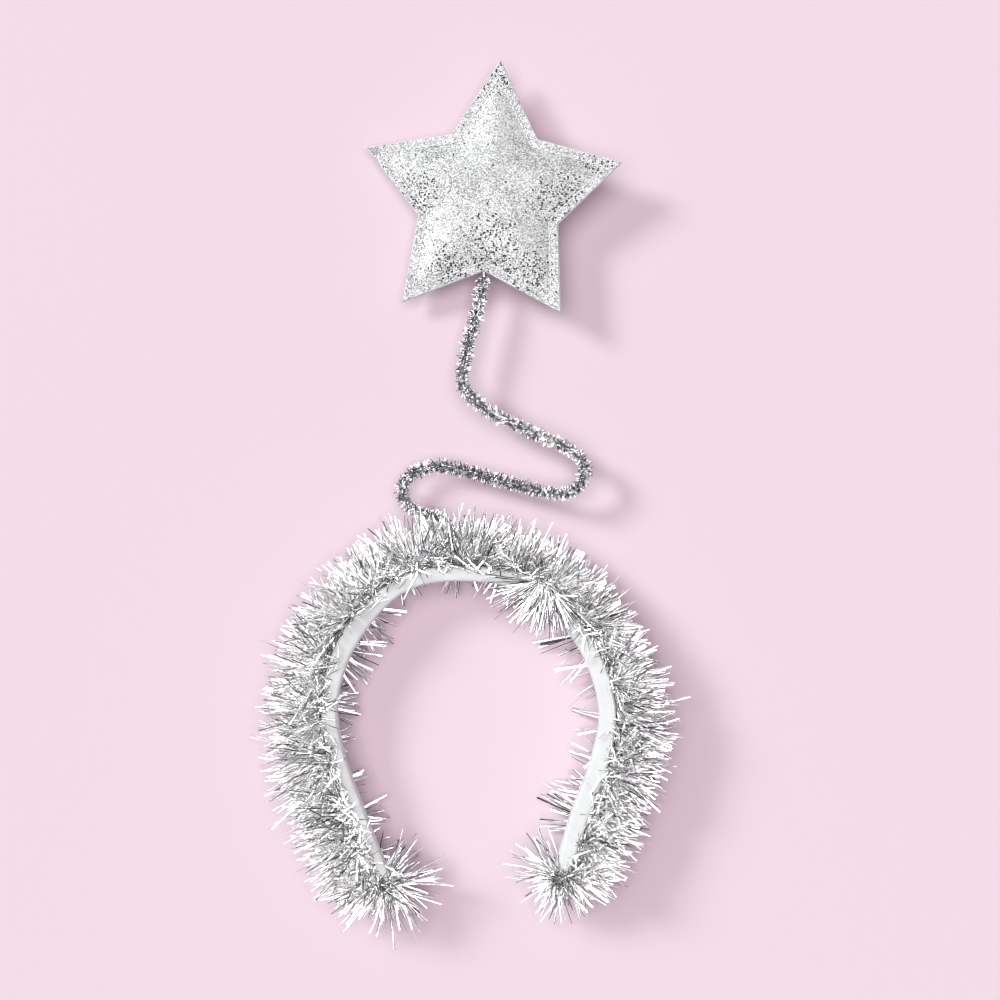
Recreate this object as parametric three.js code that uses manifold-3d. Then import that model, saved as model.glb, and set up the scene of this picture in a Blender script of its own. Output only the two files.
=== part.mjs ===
// Star headband, lying on its side as it is put down after wearing: a felt-covered hoop,
// a foil tinsel garland along the hoop's outer face, a bent tinsel wire stem that leaves
// the crown, and a padded star of glitter cloth on the far end of the stem.
//
// Millimetres, +Z up from the surface it lies on. The hoop opens towards -Y, the crown and
// the star point towards +Y, and the origin is on the surface, in the middle of the outline.

import * as THREE from "three";
import { mergeVertices } from "three/addons/utils/BufferGeometryUtils.js";
import Module from "manifold-3d";

const wasm = await Module();
wasm.setup();

// Driving dimensions
const GAP = 0.3; // clearance between pieces that touch

const BAND_WIDTH = 13; // edge to edge of the felt band, upright as the hoop lies
const BAND_HEIGHT = 19; // middle of the band above the surface
const BAND_CORNER = 3; // radius of the felt's folded edges
const BAND_FLAT = 0.8; // least flat left between two of those edges
const BAND_BLUNT = 0.45; // share of the section left at the very end of each tip
const BAND_STATIONS = 54;

const CORE_STANDOFF = 1.2; // garland's twisted thread, out from the felt
const FRINGE_STATIONS = 80;
const FRINGE_LEAN = 7; // how far neighbouring locks lean along the band, tip to tip
const FRINGE_RAGGED = 0.2; // share by which lock lengths differ
const FRINGE_LONGEST = 1.05; // longest lock, as a share of the reach
const UNDER_LOCK_HEIGHT = 2.5; // tips of the locks that come out beneath the band
const TUFT_ROOT = 14; // dense middle of the tuft round each end of the band
const TUFT_COLUMNS = 16;
const TUFT_ROWS = 8;

const WIRE_RADIUS = 1; // twisted wire in the stem
const PILE_ROOT = 2.2; // foil pile of the stem, between tufts
const PILE_TIP = 3.3; // and at the tufts
const PILE_RAGGED = 0.12; // share by which the tufts differ
const PILE_STEP = 2.7; // from one row of tufts to the next
const PILE_SIDES = 8;
const PILE_SHOULDER = 0.4; // length in which the pile ends on the bare wire
const WIRE_STEP = 3.5;

const STAR_TIP = 62; // centre of the star to a tip of the cut edge
const STAR_NOTCH = 33.7; // centre of the star to a notch
const STAR_POINTS = 5;
const STAR_TILT = -4.5; // degrees, seen from above
const STAR_ROLL = -9; // degrees about its own axis: its right-hand side is raised
const STAR_CENTRE = { x: 9.4, y: 137.5, z: 16 };
const EDGE_STEPS = 5; // facets along each of the ten straight edges
const CLOTH = 1; // glitter cloth
const FRONT_RISE = 7.5; // padding's height under each panel
const BACK_RISE = 6;
const WIRE_LIFT = 1.5; // the two margins part by this much each where the wire goes in
const WIRE_ENTRY = -36.4; // along the star's axis: the pile ends, the bare wire goes on
const WIRE_END = -12;
const CHANNEL_SPARE = 1; // room past the wire's end in the padding

// The felt band's middle line from tip to tip, its thickness seen from above, the reach of
// the fringe from its thread, and how far locks come out beneath the band's inner face.
const BAND_ROUTE = [
  { spot: "left tip", x: -37.5, y: -171.5, thickness: 6.6, reach: 27.5, under: 8 },
  { spot: "left jaw", x: -49, y: -143, thickness: 6.8, reach: 30, under: 5 },
  { spot: "left ear", x: -59.6, y: -113, thickness: 6.9, reach: 29.5, under: 6 },
  { spot: "left temple", x: -62.6, y: -92, thickness: 7, reach: 28, under: 11 },
  { spot: "left brow", x: -55, y: -64, thickness: 8.4, reach: 26, under: 14 },
  { spot: "left of crown", x: -30, y: -37.4, thickness: 7, reach: 24, under: 8 },
  { spot: "crown", x: 0, y: -32.4, thickness: 6.8, reach: 24.5, under: 10 },
  { spot: "right of crown", x: 27, y: -38.6, thickness: 7, reach: 23.5, under: 18 },
  { spot: "right brow", x: 52, y: -63.6, thickness: 7.2, reach: 24.5, under: 16 },
  { spot: "right temple", x: 62.2, y: -94, thickness: 7.6, reach: 27, under: 13 },
  { spot: "right ear", x: 58.6, y: -117, thickness: 8.2, reach: 27, under: 10 },
  { spot: "right jaw", x: 49.8, y: -141, thickness: 8.2, reach: 26.5, under: 12 },
  { spot: "right tip", x: 41, y: -168.5, thickness: 7, reach: 24.5, under: 10 },
];

// One cross-section of the garland's fringe: angles in degrees from straight out (0) to
// straight up (90), with the dense root and the lock tips as shares of the reach.
// The rows that point down are pressed flat on the surface, and the last two are inside
// the band, where the fringe is cut away.
const FRINGE_FAN = [
  { angle: 98, root: 0.34, tip: 0.68 },
  { angle: 76, root: 0.5, tip: 0.9 },
  { angle: 52, root: 0.56, tip: 0.98 },
  { angle: 28, root: 0.58, tip: 1 },
  { angle: 4, root: 0.58, tip: 1 },
  { angle: -20, root: 0.58, tip: 1 },
  { angle: -44, root: 0.6, tip: 0.98 },
  { angle: -68, root: 0.9, tip: 0.9 },
  { angle: -92, root: 0.9, tip: 0.9 },
  { angle: -116, root: 0.92, tip: 0.92 },
  { angle: -140, root: 0.46, tip: "under" },
  { angle: -160, root: 0.19, tip: 0.19 },
  { angle: 150, root: 0.19, tip: 0.19 },
];

// The stem's hidden foot against the band: share of the band's length, space to the felt.
const STEM_FOOT = [
  { share: 0.54, space: GAP },
  { share: 0.513, space: GAP },
  { share: 0.486, space: 2 * GAP },
];

// The stem's bends, from inside the fringe at the crown to the star.
const STEM_ROUTE = [
  { bend: "away from the band", x: -8.6, y: -25.4, z: 19 },
  { bend: "up through the fringe", x: -9.6, y: -18, z: 19.2 },
  { bend: "out of the fringe", x: -11.5, y: -8.6, z: 17 },
  { bend: "along the fringe tips", x: -21.2, y: -5.2, z: 14.2 },
  { bend: "first turn, start", x: -28.6, y: -0.6, z: 12.7 },
  { bend: "first turn, middle", x: -30.6, y: 5.4, z: 12 },
  { bend: "first turn, end", x: -25.6, y: 12.8, z: 11.7 },
  { bend: "lower run, start", x: -13.5, y: 16.1, z: 11.6 },
  { bend: "lower run, middle", x: 12, y: 10.1, z: 12.6 },
  { bend: "lower run, end", x: 35.5, y: 4.2, z: 15.3 },
  { bend: "second turn, start", x: 47, y: 4.6, z: 17.3 },
  { bend: "second turn, middle", x: 52.4, y: 12.2, z: 18.6 },
  { bend: "second turn, end", x: 49, y: 20.6, z: 19.3 },
  { bend: "upper run, middle", x: 26, y: 32.3, z: 18.9 },
  { bend: "upper run, end", x: 6, y: 42.7, z: 17.9 },
  { bend: "third turn, middle", x: -2.8, y: 52.6, z: 17.3 },
  { bend: "up to the star", x: -1.8, y: 65, z: 16.6 },
  { bend: "below the star", x: 3.2, y: 84, z: 16.1 },
];

// Rings of the padded star from the cut edge to the middle: scale of the outline, share of
// the padding's height, and how far the ring is rounded off towards a circle.
const STAR_RINGS = [
  { ring: "cut edge", scale: 1, rise: 0, round: 0 },
  { ring: "stitch line", scale: 0.87, rise: 0, round: 0 },
  { ring: "shoulder", scale: 0.76, rise: 0.3, round: 0.04 },
  { ring: "slope", scale: 0.6, rise: 0.6, round: 0.15 },
  { ring: "upper slope", scale: 0.38, rise: 0.88, round: 0.45 },
  { ring: "middle", scale: 0.16, rise: 1, round: 0.9 },
];
const PADDING_RIM = { scale: 0.83, round: 0 };
const PADDING_FIRST_RING = 2;
const GROUND = { side: 400, depth: 60, y: -100 }; // what is cut off below the surface

// Solids

// A value from 0 to 1 that looks random and depends only on the two counts.
function scatter(a, b) {
  const wave = Math.sin(a * 127.1 + b * 311.7) * 43758.5453;
  return wave - Math.floor(wave);
}

// A closed skin through rings of equally many points, with a fan over each end.
// Rings run anticlockwise seen from the far end of the loft.
function loft(rings, startCentre, endCentre) {
  const sides = rings[0].length;
  const points = [...rings.flat(), startCentre, endCentre];
  const faces = [];
  for (let k = 0; k + 1 < rings.length; k++) {
    for (let j = 0; j < sides; j++) {
      const a = k * sides + j;
      const b = k * sides + ((j + 1) % sides);
      faces.push(a, b, b + sides, a, b + sides, a + sides);
    }
  }
  const last = (rings.length - 1) * sides;
  const start = rings.length * sides;
  for (let j = 0; j < sides; j++) {
    const next = (j + 1) % sides;
    faces.push(start, next, j, start + 1, last + j, last + next);
  }
  return new THREE.BufferGeometry().setFromPoints(points).setIndex(faces);
}

function toSolid(geometry) {
  const bare = geometry.clone();
  bare.deleteAttribute("normal");
  bare.deleteAttribute("uv");
  const merged = mergeVertices(bare, 1e-4);
  return new wasm.Manifold(
    new wasm.Mesh({
      numProp: 3,
      vertProperties: merged.attributes.position.array,
      triVerts: new Uint32Array(merged.index.array),
    }),
  );
}

function toGeometry(solid) {
  const mesh = solid.getMesh();
  return new THREE.BufferGeometry()
    .setAttribute("position", new THREE.BufferAttribute(mesh.vertProperties, 3))
    .setIndex(new THREE.BufferAttribute(mesh.triVerts, 1));
}

// Felt band

const bandCurve = new THREE.CatmullRomCurve3(
  BAND_ROUTE.map(({ x, y }) => new THREE.Vector3(x, y, BAND_HEIGHT)),
);
const bandLength = bandCurve.getLength();

// A column of the band's table at a share of its length.
function bandColumn(share, column) {
  const row = bandCurve.getUtoTmapping(share) * (BAND_ROUTE.length - 1);
  const before = Math.min(Math.floor(row), BAND_ROUTE.length - 2);
  const [from, to] = [BAND_ROUTE[before][column], BAND_ROUTE[before + 1][column]];
  return THREE.MathUtils.lerp(from, to, row - before);
}

// Middle of the band, the way along it, the way out from it and its thickness.
function bandAt(share) {
  const along = bandCurve.getTangentAt(share);
  return {
    middle: bandCurve.getPointAt(share),
    along,
    out: new THREE.Vector3(-along.y, along.x, 0),
    thickness: bandColumn(share, "thickness"),
  };
}

// Outline of the felt's section as (out, up) pairs: a rectangle with rounded corners.
function bandSection(thickness, width) {
  const corner = Math.min(BAND_CORNER, (thickness - BAND_FLAT) / 2);
  const outline = [];
  for (let quarter = 0; quarter < 4; quarter++) {
    const [signOut, signUp] = [[1, 1], [-1, 1], [-1, -1], [1, -1]][quarter];
    for (let step = 0; step <= 2; step++) {
      const turn = ((quarter + step / 2) * Math.PI) / 2;
      outline.push({
        out: signOut * (thickness / 2 - corner) + corner * Math.cos(turn),
        up: signUp * (width / 2 - corner) + corner * Math.sin(turn),
      });
    }
  }
  return outline;
}

// The band's solid, or with grow the room that it needs in the fringe.
function bandGeometry(grow) {
  const rounding = BAND_ROUTE[0].thickness / 2;
  const shares = [0, 0.3, 1].map((part) => (part * rounding) / bandLength);
  for (let k = 1; k < BAND_STATIONS; k++) shares.push(k / BAND_STATIONS);
  shares.push(...shares.slice(0, 3).reverse().map((share) => 1 - share));
  const rings = shares.map((share) => {
    const { middle, along, out, thickness } = bandAt(share);
    const fromTip = Math.min(share, 1 - share) * bandLength;
    const short = 1 - Math.min(1, fromTip / rounding);
    const taper = THREE.MathUtils.lerp(BAND_BLUNT, 1, Math.sqrt(1 - short * short));
    const past = (share === 0 ? -grow : 0) + (share === 1 ? grow : 0);
    return bandSection(thickness * taper + 2 * grow, BAND_WIDTH * taper + 2 * grow).map(
      ({ out: o, up }) =>
        middle
          .clone()
          .addScaledVector(along, past)
          .addScaledVector(out, o)
          .add(new THREE.Vector3(0, 0, up)),
    );
  });
  const centre = (ring) =>
    ring.reduce((sum, p) => sum.add(p), new THREE.Vector3()).divideScalar(ring.length);
  return loft(rings, centre(rings[0]), centre(rings.at(-1)));
}

// Stem: twisted wire with a foil pile, bare where the fringe and the star hide it

const star = new THREE.Group();
star.position.copy(STAR_CENTRE);
star.rotation.order = "ZYX";
star.rotation.y = THREE.MathUtils.degToRad(STAR_ROLL);
star.rotation.z = THREE.MathUtils.degToRad(STAR_TILT);
star.updateMatrix();

const footPoints = STEM_FOOT.map(({ share, space }) => {
  const { middle, out, thickness } = bandAt(share);
  return middle.addScaledVector(out, thickness / 2 + space + WIRE_RADIUS);
});
const starAxis = (y) => new THREE.Vector3(0, y, 0).applyMatrix4(star.matrix);
const stemCurve = new THREE.CatmullRomCurve3([
  ...footPoints,
  ...STEM_ROUTE.map(({ x, y, z }) => new THREE.Vector3(x, y, z)),
  starAxis(WIRE_ENTRY),
  starAxis((WIRE_ENTRY + WIRE_END) / 2),
  starAxis(WIRE_END),
]);
const stemLength = stemCurve.getLength();

// Length along the stem at which its curve passes the given control point.
function lengthAtPoint(index) {
  const fineness = 40;
  const lengths = stemCurve.getLengths(fineness * (stemCurve.points.length - 1));
  return lengths[fineness * index];
}
const pileStart = lengthAtPoint(footPoints.length + 1);
const pileEnd = lengthAtPoint(footPoints.length + STEM_ROUTE.length);

// Round sections along a stretch of the stem, with radiusAt(row, side) for each corner.
function stemRings(from, to, step, radiusAt) {
  const steps = Math.max(1, Math.round((to - from) / step));
  const rings = [];
  for (let k = 0; k <= steps; k++) {
    const share = (from + ((to - from) * k) / steps) / stemLength;
    const middle = stemCurve.getPointAt(share);
    const along = stemCurve.getTangentAt(share);
    const side = new THREE.Vector3(0, 0, 1).cross(along).normalize();
    const up = along.clone().cross(side);
    const ring = [];
    for (let j = 0; j < PILE_SIDES; j++) {
      const turn = (j * 2 * Math.PI) / PILE_SIDES;
      const radius = radiusAt(k, j);
      ring.push(
        middle
          .clone()
          .addScaledVector(side, radius * Math.cos(turn))
          .addScaledVector(up, radius * Math.sin(turn)),
      );
    }
    rings.push(ring);
  }
  return rings;
}

// The stem's solid with tufted pile, or with grow the plain room that it needs.
function stemGeometry(grow) {
  const wire = () => WIRE_RADIUS + grow;
  const tufted = (k, j) =>
    (k + j) % 2 ? PILE_ROOT : PILE_TIP * (1 - PILE_RAGGED * scatter(k, j));
  const plain = () => PILE_TIP + grow;
  const rings = [
    ...stemRings(0, pileStart - PILE_SHOULDER, WIRE_STEP, wire),
    ...stemRings(pileStart, pileEnd, PILE_STEP, grow ? plain : tufted),
    ...stemRings(pileEnd + PILE_SHOULDER, stemLength, WIRE_STEP, wire),
  ];
  return loft(rings, stemCurve.getPointAt(0), stemCurve.getPointAt(1));
}

// Tinsel garland: a fringe along the band's outer face and a tuft round each end

// One corner of the fringe's section as (out, up, lean) from the thread: a lock's tip on
// every other corner, the dense root on the rest.
function fringeCorner({ angle, root, tip }, share, k, j) {
  const isLock = (k + j) % 2 === 0 && tip !== root;
  const ragged = FRINGE_LONGEST - FRINGE_RAGGED * scatter(k, j);
  const lean = isLock ? FRINGE_LEAN * (scatter(j, k) - 0.5) : 0;
  if (isLock && tip === "under") {
    const inward = bandColumn(share, "thickness") + CORE_STANDOFF;
    const out = -inward - bandColumn(share, tip) * ragged;
    return { out, up: UNDER_LOCK_HEIGHT - BAND_HEIGHT, lean };
  }
  const length = bandColumn(share, "reach") * (isLock ? tip * ragged : root);
  const turn = THREE.MathUtils.degToRad(angle);
  return { out: length * Math.cos(turn), up: length * Math.sin(turn), lean };
}

function fringeGeometry() {
  const rings = [];
  const threads = [];
  for (let k = 0; k <= FRINGE_STATIONS; k++) {
    const share = k / FRINGE_STATIONS;
    const { middle, along, out, thickness } = bandAt(share);
    const thread = middle.addScaledVector(out, thickness / 2 + CORE_STANDOFF);
    const ring = FRINGE_FAN.map((row, j) => {
      const corner = fringeCorner(row, share, k, j);
      return thread
        .clone()
        .addScaledVector(out, corner.out)
        .addScaledVector(along, corner.lean)
        .add(new THREE.Vector3(0, 0, corner.up));
    });
    threads.push(thread);
    rings.push(ring.reverse());
  }
  return loft(rings, threads[0], threads.at(-1));
}

// The tuft round one end of the band: a ball with a lock on every other corner.
function tuftGeometry(share) {
  const centre = bandCurve.getPointAt(share);
  const reach = bandColumn(share, "reach");
  const tuft = new THREE.SphereGeometry(1, TUFT_COLUMNS, TUFT_ROWS).rotateX(Math.PI / 2);
  const position = tuft.attributes.position;
  const point = new THREE.Vector3();
  for (let row = 0; row <= TUFT_ROWS; row++) {
    for (let column = 0; column <= TUFT_COLUMNS; column++) {
      const index = row * (TUFT_COLUMNS + 1) + column;
      const isPole = row === 0 || row === TUFT_ROWS;
      const isLock = !isPole && (row + column) % 2 === 0;
      const ragged = 1 - FRINGE_RAGGED * scatter(row, column % TUFT_COLUMNS);
      point.fromBufferAttribute(position, index);
      point.multiplyScalar(isLock ? reach * ragged : TUFT_ROOT).add(centre);
      position.setXYZ(index, point.x, point.y, point.z);
    }
  }
  return tuft;
}

function garlandGeometry() {
  const { side, depth, y } = GROUND;
  const ground = new THREE.BoxGeometry(side, side, depth).translate(0, y, -depth / 2);
  const solid = toSolid(fringeGeometry())
    .add(toSolid(tuftGeometry(0)))
    .add(toSolid(tuftGeometry(1)))
    .subtract(toSolid(bandGeometry(GAP)))
    .subtract(toSolid(stemGeometry(GAP)))
    .subtract(toSolid(ground));
  return toGeometry(solid);
}

// Padded star, in its own frame: the top tip points along +Y and the seam lies at z = 0

// Corners and edge points of the cut outline, starting at the top tip.
function starOutline() {
  const corners = [];
  for (let k = 0; k < 2 * STAR_POINTS; k++) {
    const turn = Math.PI / 2 + (k * Math.PI) / STAR_POINTS;
    const radius = k % 2 ? STAR_NOTCH : STAR_TIP;
    corners.push(new THREE.Vector2(Math.cos(turn), Math.sin(turn)).multiplyScalar(radius));
  }
  return corners.flatMap((corner, k) => {
    const next = corners[(k + 1) % corners.length];
    return Array.from({ length: EDGE_STEPS }, (_, step) =>
      corner.clone().lerp(next, step / EDGE_STEPS),
    );
  });
}
const outline = starOutline();
const lowestNotch = STAR_POINTS * EDGE_STEPS; // the notch opposite the top tip
const meanRadius = (STAR_TIP + STAR_NOTCH) / 2;

// The outline scaled in and rounded off, at height z.
function starRing({ scale, round }, z) {
  return outline.map((corner) => {
    const radius = THREE.MathUtils.lerp(corner.length(), meanRadius, round) * scale;
    const flat = corner.clone().setLength(radius);
    return new THREE.Vector3(flat.x, flat.y, z);
  });
}

// One domed cloth panel on the given side of the seam (1 or -1), with its flat margin.
function panelGeometry(side, rise) {
  const surface = (depth) =>
    STAR_RINGS.map((row, k) => {
      const ring = starRing(row, side * (depth + row.rise * rise));
      if (k < PADDING_FIRST_RING) ring[lowestNotch].z += side * WIRE_LIFT;
      return ring;
    });
  const middle = (depth) => new THREE.Vector3(0, 0, side * (depth + rise));
  const faces = [GAP / 2, GAP / 2 + CLOTH];
  const [lower, upper] = side > 0 ? faces : faces.reverse();
  return loft([...surface(lower).reverse(), ...surface(upper)], middle(lower), middle(upper));
}

// The wadding between the panels, with a channel for the wire.
function paddingGeometry() {
  const dome = (rise, sign) =>
    STAR_RINGS.slice(PADDING_FIRST_RING).map((row) =>
      starRing(row, sign * (row.rise * rise - GAP / 2)),
    );
  const rings = [
    ...dome(BACK_RISE, -1).reverse(),
    starRing(PADDING_RIM, 0),
    ...dome(FRONT_RISE, 1),
  ];
  const whole = toSolid(
    loft(
      rings,
      new THREE.Vector3(0, 0, GAP / 2 - BACK_RISE),
      new THREE.Vector3(0, 0, FRONT_RISE - GAP / 2),
    ),
  );
  const radius = WIRE_RADIUS + 2 * GAP;
  const length = WIRE_END + CHANNEL_SPARE - WIRE_ENTRY;
  const channel = new THREE.CylinderGeometry(radius, radius, length, PILE_SIDES);
  channel.translate(0, WIRE_ENTRY + length / 2, 0);
  return toGeometry(whole.subtract(toSolid(channel)));
}

// Assembly

const FELT = { color: 0xe9ecec, roughness: 0.95 };
const FOIL = { color: 0xd6d8da, roughness: 0.25, metalness: 1 };
const PILE = { color: 0xa4a7aa, roughness: 0.3, metalness: 1 };
const GLITTER = { color: 0xc9ccce, roughness: 0.4, metalness: 0.7 };
const WADDING = { color: 0xf4f4f2, roughness: 1 };

function piece(name, geometry, look) {
  const mesh = new THREE.Mesh(geometry, new THREE.MeshStandardMaterial(look));
  mesh.name = name;
  return mesh;
}

star.add(
  piece("star_front", panelGeometry(1, FRONT_RISE), GLITTER),
  piece("star_back", panelGeometry(-1, BACK_RISE), GLITTER),
  piece("star_padding", paddingGeometry(), WADDING),
);

const starHeadband = new THREE.Group();
starHeadband.add(
  piece("headband", bandGeometry(0), FELT),
  piece("tinsel_garland", garlandGeometry(), FOIL),
  piece("stem", stemGeometry(0), PILE),
  star,
);

export default starHeadband;
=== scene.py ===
"""Star headband: a felt hoop with a foil tinsel garland, a tinsel wire stem and a padded glitter star.

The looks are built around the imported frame, in metres, lying on the surface as the solids do.
"""

import math

import bmesh
import bpy
import numpy as np
from mathutils import Matrix, Vector


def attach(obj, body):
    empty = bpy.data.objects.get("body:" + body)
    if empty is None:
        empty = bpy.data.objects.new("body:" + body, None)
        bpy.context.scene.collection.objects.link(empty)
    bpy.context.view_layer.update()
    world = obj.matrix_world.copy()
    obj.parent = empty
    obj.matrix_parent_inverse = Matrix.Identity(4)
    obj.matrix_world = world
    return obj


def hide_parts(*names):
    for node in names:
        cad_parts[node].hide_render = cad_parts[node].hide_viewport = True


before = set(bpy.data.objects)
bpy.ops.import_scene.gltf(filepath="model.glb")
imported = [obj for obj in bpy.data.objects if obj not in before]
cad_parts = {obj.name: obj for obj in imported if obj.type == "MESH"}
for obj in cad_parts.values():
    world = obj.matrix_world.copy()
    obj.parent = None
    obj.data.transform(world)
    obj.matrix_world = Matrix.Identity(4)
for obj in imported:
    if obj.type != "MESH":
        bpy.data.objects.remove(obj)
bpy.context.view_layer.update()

bl_info = {
    "name": "Star Headband",
    "version": (1, 0, 0),
    "blender": (4, 5, 0),
    "location": "View3D > Sidebar > Headband",
    "description": "Builds the felt band, tinsel garland, wire stem and padded star of a costume headband",
    "category": "Add Mesh",
}

BODY = "root"
UP = np.array((0.0, 0.0, 1.0))
SAME_PLACE = 1e-6

# Band
BAND_HEIGHT = 0.019  # middle of the band above the surface
BAND_STATIONS = 220
BAND_COLUMNS = ("x", "y", "thickness", "reach")
# The band's middle line from tip to tip, its thickness seen from above, and the reach of the fringe
# from its thread.
BAND_ROUTE = {
    "left tip": (-0.0375, -0.1715, 0.0066, 0.0275),
    "left jaw": (-0.049, -0.143, 0.0068, 0.03),
    "left ear": (-0.0596, -0.113, 0.0069, 0.0295),
    "left temple": (-0.0626, -0.092, 0.007, 0.028),
    "left brow": (-0.055, -0.064, 0.0084, 0.026),
    "left of crown": (-0.03, -0.0374, 0.007, 0.024),
    "crown": (0.0, -0.0324, 0.0068, 0.0245),
    "right of crown": (0.027, -0.0386, 0.007, 0.0235),
    "right brow": (0.052, -0.0636, 0.0072, 0.0245),
    "right temple": (0.0622, -0.094, 0.0076, 0.027),
    "right ear": (0.0586, -0.117, 0.0082, 0.027),
    "right jaw": (0.0498, -0.141, 0.0082, 0.0265),
    "right tip": (0.041, -0.1685, 0.007, 0.0245),
}
# Hand stitches across the top of the band: share of the band's length and count of stitches.
BAND_STITCHES = {"left temple": (0.235, 2), "right brow": (0.714, 4), "right temple": (0.79, 1)}
BAND_STITCH_LENGTH = 0.0012
BAND_STITCH_RADIUS = 0.00016
BAND_STITCH_ROOM = 0.62  # share of the band's thickness that a row of stitches takes
BAND_STITCH_SINK = 0.0004
BAND_STITCH_ROUND = 0.3  # how much deeper the outer stitches of a row lie
BAND_FACE_CUTS = 3  # rows added across the band's tall faces
WIDE_LUMPS = (0.014, 0.0002)  # size and height of the felt's lumps
FINE_LUMPS = (0.0026, 0.00007)
SMOOTH_ANGLE = 60  # degrees: sharper edges stay sharp
BAR_SIDES = 6  # of stitches, threads and wires
STITCH_CUTS = 3  # across a stitch, so that it can arch
STITCH_DIP = 2.2  # how far a stitch's ends dip, in radii

# Garland
THREAD_STANDOFF = 0.0012  # twisted thread, out from the felt
THREAD_PITCH = 0.006
THREAD_RADIUS = 0.00055
THREAD_POINTS = 60
PLY_SPACING = 0.9  # of a ply's radius, from the middle of the pair
PLY_CUTS = 8  # in each turn
STRIP_STATIONS = 5
STRIP_ROLL = math.radians(55)  # how far strips turn their faces away from upwards
STRIP_TWIST = math.radians(60)  # how far they twist from root to tip
STRIP_THICKNESS = 0.00006
FLOOR_CLEAR = 0.0004
FLOOR_SPREAD = 0.0025  # strips that reach the surface lie up to this much higher
ROOT_SCATTER = 0.0006
WIDTH_SPAN = (0.75, 1.15)  # narrowest and widest strip, as shares of the width
# How far the strips of each group bend astray, as a share of their length.
STRIP_BENDS = {
    "fringe": 0.09, "core": 0.25, "cover": 0.12, "under": 0.04, "over": 0.09, "tuft": 0.11,
    "tangle": 0.3, "pile": 0.1,
}
# The shortest and the longest strip of each group, as shares of the group's length.
LENGTH_SPANS = {
    "fringe": (0.6, 1.04), "core": (0.6, 1.2), "cover": (0.5, 1.2), "under": (0.5, 1.1),
    "over": (0.55, 1.05), "tuft": (0.4, 0.96), "tangle": (0.6, 1.2), "pile": (0.55, 1.1),
}
GARLAND_SEED = 40
GARLAND_HALVES = {"left": (0.0, 0.5), "right": (0.5, 1.0)}  # shares of the band's length
# Each strip has a cell of the UV map: four columns for its sides, and its two ends above them.
CELL_EDGE = 0.05
CELL_COLUMN = 0.225
CELL_FILL = 0.9
CELL_HEIGHT = 0.8
CAP_STARTS = (0.05, 0.55)
CAP_WIDTH = 0.3
CAP_ROWS = (0.9, 0.96)
PAINTED_TONES = ((0.9, 1.0), (0.35, 0.8), (0.0, 0.1))  # painted reflection and shade: brightness of white, grey and black strips
GREY_SHARE = 0.06
TONE_SPREAD = 0.04
DARK_REFLECTION_TIP = 0.2  # share of the tone that is left on the outer half of a strip whose tip has a painted dark reflection
BLACK_TONE = 0.3  # darker strips are seen edge on, so they look thinner
BLACK_WIDTH = 0.45
SHADED_EDGE_TONE = 0.15  # painted shade: one edge of some strips is turned from the light
CREASE_SPREAD = 0.12  # how far creases change a strip's tone
FAR_OUT = (0.011, 0.023)  # from the root: strips change their tone between these lengths, as painted shade on their outer parts
# For each group of strips: the shares of black strips (painted dark reflection and shade), of dark tips
# (painted dark reflection) and of shaded edges (painted shade), the width, and the tone far out from the
# root (painted shade on the parts that catch the most light).
STRIP_LOOKS = {
    "upper fringe": (0.1, 0.13, 0.2, 1.0, 0.67),
    "lower fringe": (0.01, 0.08, 0.0, 1.0, 0.7),
    # core strips are mostly black: painted shade close to the thread
    "core": (0.8, 0.1, 0.0, 0.9, 1.0),
    "tuft": (0.08, 0.16, 0.3, 1.0, 0.75),
    # tangle strips are mostly black: painted shade in the tangle
    "tangle": (0.85, 0.2, 0.0, 1.0, 1.0),
    "cover": (0.3, 0.1, 0.3, 0.9, 1.0),
    "under": (0.08, 0.1, 0.5, 1.4, 1.0),
    "over": (0.24, 0.2, 0.5, 0.85, 0.7),
}
SAG = -0.04 * UP  # how far a strip bends down by its tip, as a share of its length
NO_SAG = np.zeros(3)
TANGLE_RADIUS = 0.0032
TANGLE_LIFT = 0.006
TANGLE_LENGTH = 0.006
TANGLE_RISE = (-10, 70)  # degrees above level
TUFT_FAN = math.radians(145)  # to each side of straight ahead
TUFT_RISE = (4, 24)  # degrees above level: middle and spread
CORE_RADIUS = 0.0018
CORE_LENGTH = 0.0055
CORE_TURNS = (-20, 100)  # degrees above straight out
CORE_LEAN = 75  # degrees along the band, each way
CLUMP_STEP = 0.02  # from one clump of strips to the next along the thread
CLUMP_SHIFT = 0.25  # how unevenly the clumps stand, in steps
CLUMP_SCALES = (0.86, 1.06)  # shortest and longest clump
CLUMP_PULL = 0.35  # how far roots are drawn to the middle of their clump
FAN_SPREAD = math.radians(62)
LONG_STRAY = math.radians(13)  # how far the longest and the shortest strips stray from their fan
SHORT_STRAY = math.radians(44)
# The fringe's angles in degrees, from straight out (0) to straight up (90).
FRINGE_MIDDLE = 12
FRINGE_OPENING = 42
FRINGE_LIMITS = (-80, 94)
# How long strips are at each of these angles, as shares of the reach.
FRINGE_ANGLES = (-80, -68, -44, -20, 4, 28, 52, 76, 98)
FRINGE_TIPS = (0.86, 0.9, 0.98, 1.0, 1.0, 1.0, 0.98, 0.9, 0.68)
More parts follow.
